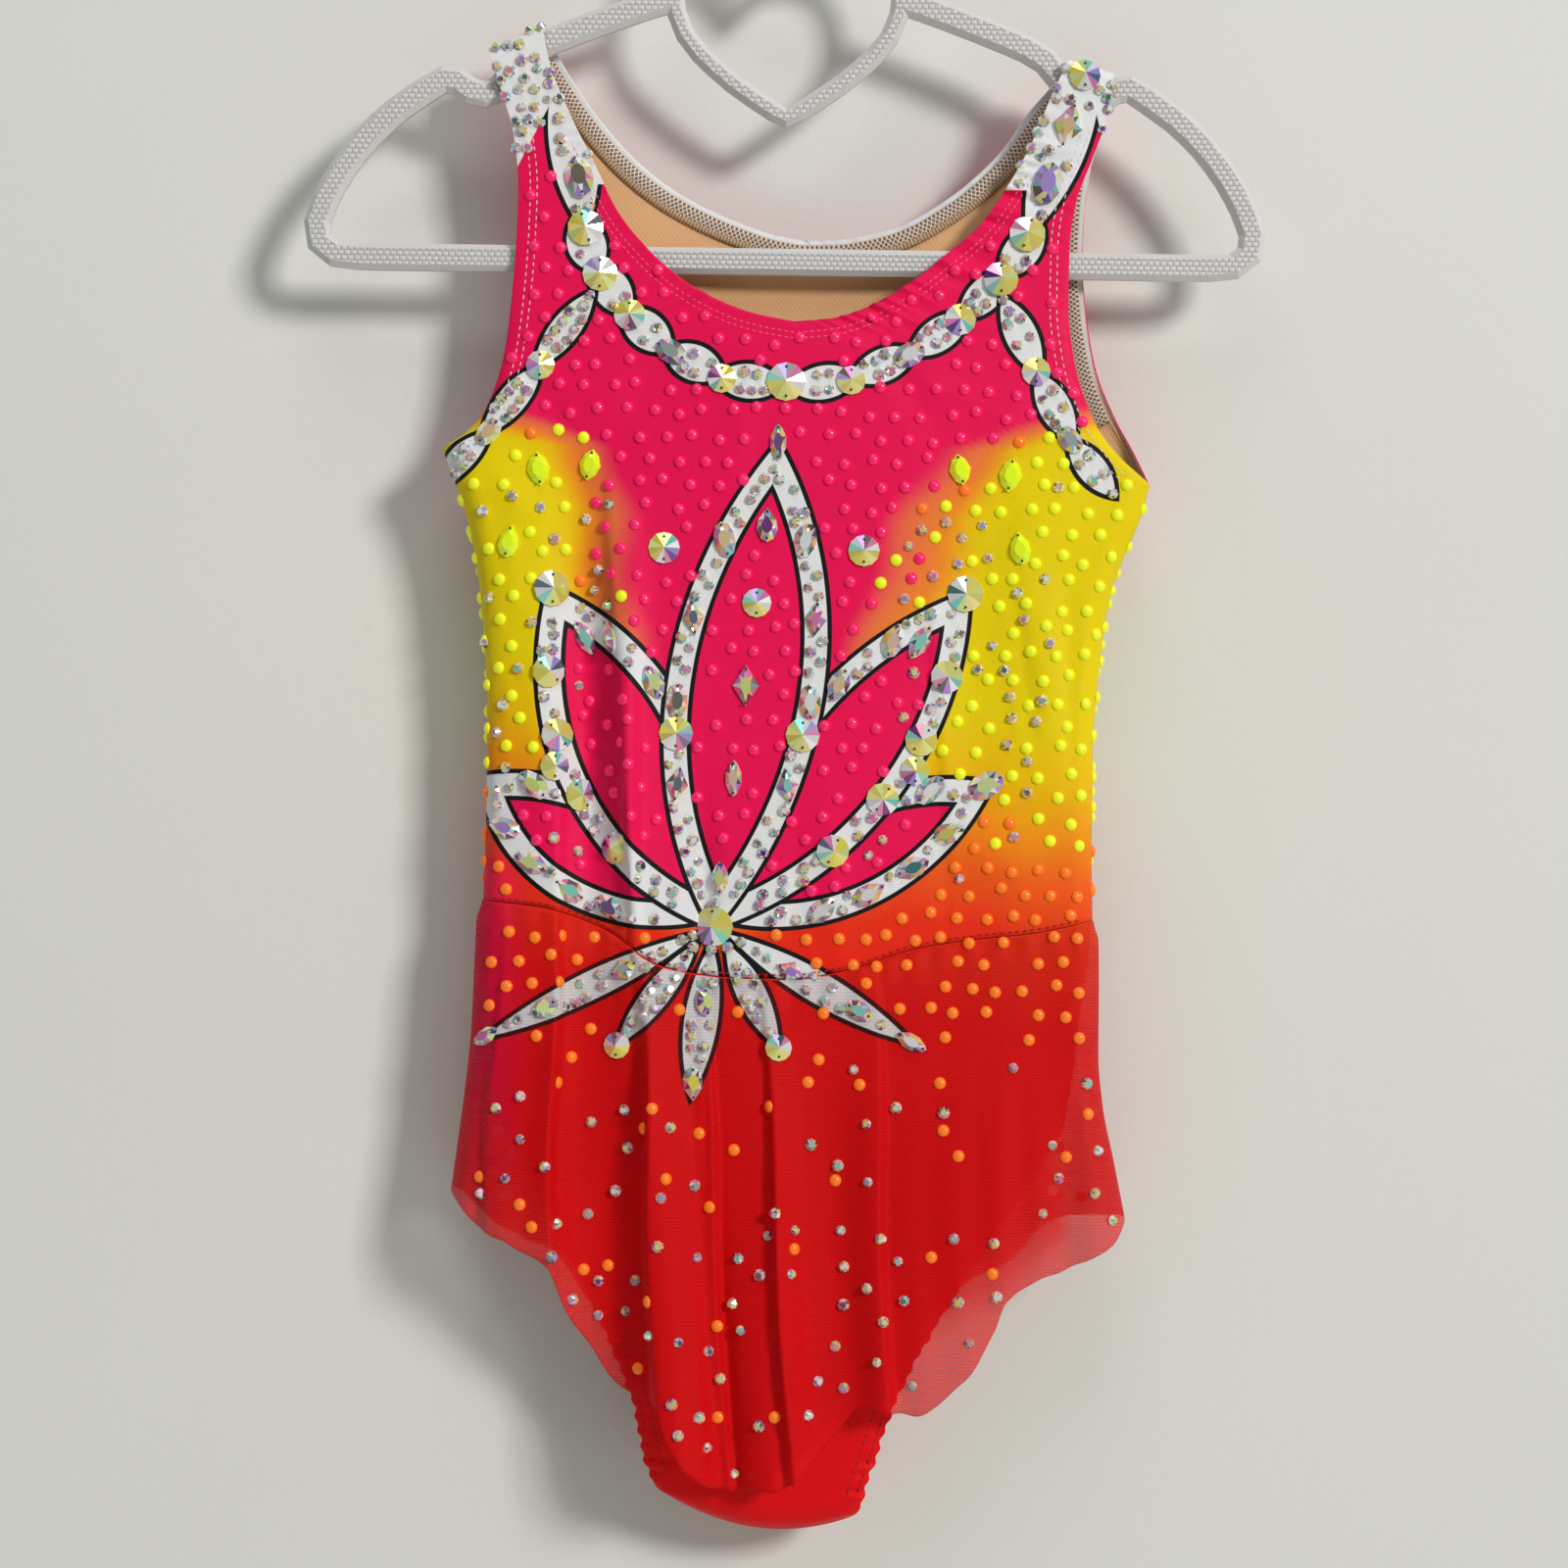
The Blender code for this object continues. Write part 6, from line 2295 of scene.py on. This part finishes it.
@dataclass
class Studio:
    """Wall, floor, lights and camera.

    Args:
        wall_y: place of the wall behind the garment, in metres.
        aim: point that the camera looks at.
        width: width seen at the garment, in metres.
        roll: turn of the camera about its own axis, in degrees.
    """

    wall_y: float = 0.034
    aim: tuple = (0.0029, -0.006, -0.4116)
    width: float = 0.6472
    roll: float = 0.8

    def build(self) -> None:
        """Make them all."""
        wall = self.plane("wall", (0.0, self.wall_y, -0.40), (3.4, 3.4), 90.0)
        floor = self.plane("floor", (0.0, -1.2, -1.3), (3.4, 2.6), 0.0)
        paint = Shader("wall paint")
        base = paint.colour((0.775, 0.780, 0.735), 2.2, 0.95)
        paint.put(paint.face.inputs["Base Color"], base)
        paint.set(Roughness=0.7)
        paint.bump(paint.noise(260.0), 0.12)
        paint.one_sided()
        for plane in (wall, floor):
            plane.data.materials.append(paint.material)
        LOG.info("stage: wall and floor")
        self.light("key", (3.60, -4.30, 1.75), 1.15, 236.0, (1.0, 0.985, 0.955))
        self.light("fill", (-2.4, -1.9, 0.3), 1.6, 3.5, (0.95, 0.975, 1.0))
        self.light("top", (-0.1, -1.0, 1.3), 1.0, 7.0, (1.0, 1.0, 1.0))
        scene = bpy.context.scene
        scene.world = scene.world or bpy.data.worlds.new("room")
        scene.world.use_nodes = True
        sky = scene.world.node_tree.nodes["Background"]
        sky.inputs["Color"].default_value = (0.95, 0.965, 1.0, 1.0)
        sky.inputs["Strength"].default_value = 0.15
        scene.view_settings.view_transform = "Standard"
        self.camera()

    def plane(self, name: str, centre: tuple, size: Place, tilt: float) -> bpy.types.Object:
        """Flat backdrop piece.

        Args:
            name: its name.
            centre: its centre, in metres.
            size: its two sides.
            tilt: turn about X, in degrees.

        Returns:
            The new object.
        """
        bm = bmesh.new()
        bmesh.ops.create_grid(bm, x_segments=1, y_segments=1, size=0.5)
        bmesh.ops.scale(bm, vec=(size[0], size[1], 1.0), verts=bm.verts[:])
        turn = Matrix.Rotation(math.radians(tilt), 3, "X")
        bmesh.ops.rotate(bm, cent=(0, 0, 0), matrix=turn, verts=bm.verts[:])
        bmesh.ops.translate(bm, vec=centre, verts=bm.verts[:])
        made = bpy.data.objects.new(name, template(bm, name))
        bpy.context.scene.collection.objects.link(made)
        return made

    def light(self, name: str, place: tuple, size: float, power: float, colour: tuple) -> None:
        """Soft square light aimed at the garment.

        Args:
            name: its name.
            place: where it stands, in metres.
            size: its side.
            power: its power, in watts.
            colour: its colour.
        """
        lamp = bpy.data.lights.new(name, "AREA")
        lamp.size = size
        lamp.energy = power
        lamp.color = colour
        made = bpy.data.objects.new(name, lamp)
        made.location = place
        ahead = Vector((0.0, 0.0, -0.42)) - Vector(place)
        made.rotation_euler = ahead.to_track_quat("-Z", "Y").to_euler()
        bpy.context.scene.collection.objects.link(made)

    def camera(self) -> None:
        """Straight-on camera, turned a little about its own axis."""
        lens = bpy.data.cameras.new("camera")
        lens.lens = 73.0
        lens.sensor_width = 36.0
        made = bpy.data.objects.new("camera", lens)
        distance = self.width * lens.lens / lens.sensor_width
        made.location = (self.aim[0], self.aim[1] - distance, self.aim[2])
        turn = Matrix.Rotation(math.pi / 2, 3, "X") @ Matrix.Rotation(math.radians(self.roll), 3,
                                                                      "Z")
        made.rotation_euler = turn.to_euler()
        bpy.context.scene.collection.objects.link(made)
        bpy.context.scene.camera = made


def stand_in(shell: Shell, *nodes: str) -> None:
    """Hide the solids that a shell takes the place of."""
    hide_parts(*nodes)


def build_cloth() -> dict[str, Shell]:
    """Make the six outer panels.

    Returns:
        Their shells by node name.
    """
    printed = cloth_material("printed knit", STRETCH, "ground", printed=True)
    plain = cloth_material("sprayed knit", STRETCH, "ground")
    inside = cloth_material("knit inside", STRETCH, (0.62, 0.50, 0.48))
    white = cloth_material("white turned edge", STRETCH, WHITE)
    net_print = cloth_material("printed net", NET, "ground", printed=True)
    net = cloth_material("net", NET, "ground")
    front_folds = FRONT_FOLDS + FRONT_CREASES + FRONT_STEPS
    back_folds = BACK_FOLDS + BACK_CREASES + BACK_STEPS
    front = Bodice("front_bodice", Side.FRONT, FRONT_LEFT, FRONT_RIGHT, FRONT_DEPTH, FRONT_BODY,
                   FRONT_WAIST, front_folds, 74, 150, 90, gathers=(1.0, 1.5))
    back = Bodice("back_bodice", Side.BACK, BACK_LEFT, BACK_RIGHT, BACK_DEPTH, BACK_BODY,
                  BACK_WAIST, back_folds, 50, 64, 66)
    skirt_front = Skirt("front_skirt", Side.FRONT, FRONT_SKIRT, FRONT_WAIST, FRONT_HEM,
                        FRONT_FLUTES + FRONT_PLEATS, FRONT_EDGES, front_folds, 216, 74)
    skirt_back = Skirt("back_skirt", Side.BACK, BACK_SKIRT, BACK_WAIST, BACK_HEM,
                       BACK_FLUTES + BACK_PLEATS, BACK_EDGES, back_folds, 160, 60)
    made = {
        "bodice_front": front.build([printed, inside], front_colour),
        "bodice_back": back.build([plain, white], back_colour),
        "skirt_front": skirt_front.build([net_print], front_colour),
        "skirt_back": skirt_back.build([net], back_colour),
        "brief_front": BriefHalf("front_brief", Side.FRONT, FRONT_WAIST,
                                 front_folds).build([plain], front_colour),
        "brief_back": BriefHalf("back_brief", Side.BACK, BACK_WAIST,
                                back_folds).build([plain], back_colour),
    }
    for node, shell in made.items():
        legs = ("leg_elastic_left", "leg_elastic_right") if node == "brief_front" else ()
        stand_in(shell, node, *legs)
    return made


def build_inside(cover: Shell) -> Shell:
    """Make the nude lining and the elastics inside the back.

    Args:
        cover: the back bodice's shell.

    Returns:
        The lining's shell.
    """
    inward = 1.9
    depths = tuple(Depth(d.share, max(d.arm - inward, 0.15), max(d.full - inward, 0.15), d.crown)
                   for d in BACK_DEPTH)
    body = tuple(Body(b.share, b.left_x, b.right_x, b.full - inward, b.crown) for b in BACK_BODY)
    lining = Bodice("nude_lining", Side.BACK, BACK_LEFT, BACK_RIGHT, depths, body, BACK_WAIST,
                    BACK_FOLDS + BACK_CREASES, 34, 50, 20, inset=3.6, low=0.3, gathers=(0.0, 0.0))
    shell = lining.build([cloth_material("nude lining", LINING, NUDE)])
    stand_in(shell, "back_lining")
    material = elastic_material()
    arm = np.linspace(0.07, 0.86, 60)
    bands = {
        "neck_elastic": Elastic("back_neck_elastic", neck_line(BACK_LEFT, BACK_RIGHT, 0.07), -1.0),
        "armhole_elastic_left": Elastic("left_armhole_elastic", edge_line(BACK_LEFT, "arm", arm),
                                        1.0),
        "armhole_elastic_right": Elastic("right_armhole_elastic",
                                         edge_line(BACK_RIGHT, "arm", arm), -1.0),
    }
    for node, band in bands.items():
        stand_in(band.build(shell, cover, material), node)
    return shell


def dress_hanger() -> None:
    """Give the hanger its plastic and smooth its rounded edges."""
    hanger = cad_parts["hanger"]
    hanger.data.materials.clear()
    hanger.data.materials.append(hanger_material())
    hanger.data.polygons.foreach_set("use_smooth", [True] * len(hanger.data.polygons))
    hanger.data.set_sharp_from_angle(angle=math.radians(50.0))
    LOG.info("hanger: %d faces", len(hanger.data.polygons))


def main() -> None:
    """Build the visual model, the stage and the camera."""
    logging.basicConfig(level=logging.INFO)
    cloth = build_cloth()
    lining = build_inside(cloth["bodice_back"])
    stones = StoneWork(cloth["bodice_front"], cloth["bodice_back"], cloth["skirt_front"],
                       cloth["skirt_back"])
    stones.big()
    stones.crystals()
    stones.domes()
    stitch_all(cloth["bodice_front"], cloth["bodice_back"],
               (cloth["brief_front"], cloth["brief_back"]))
    dress_hanger()
    Studio().build()


if __name__ == "__main__":
    main()
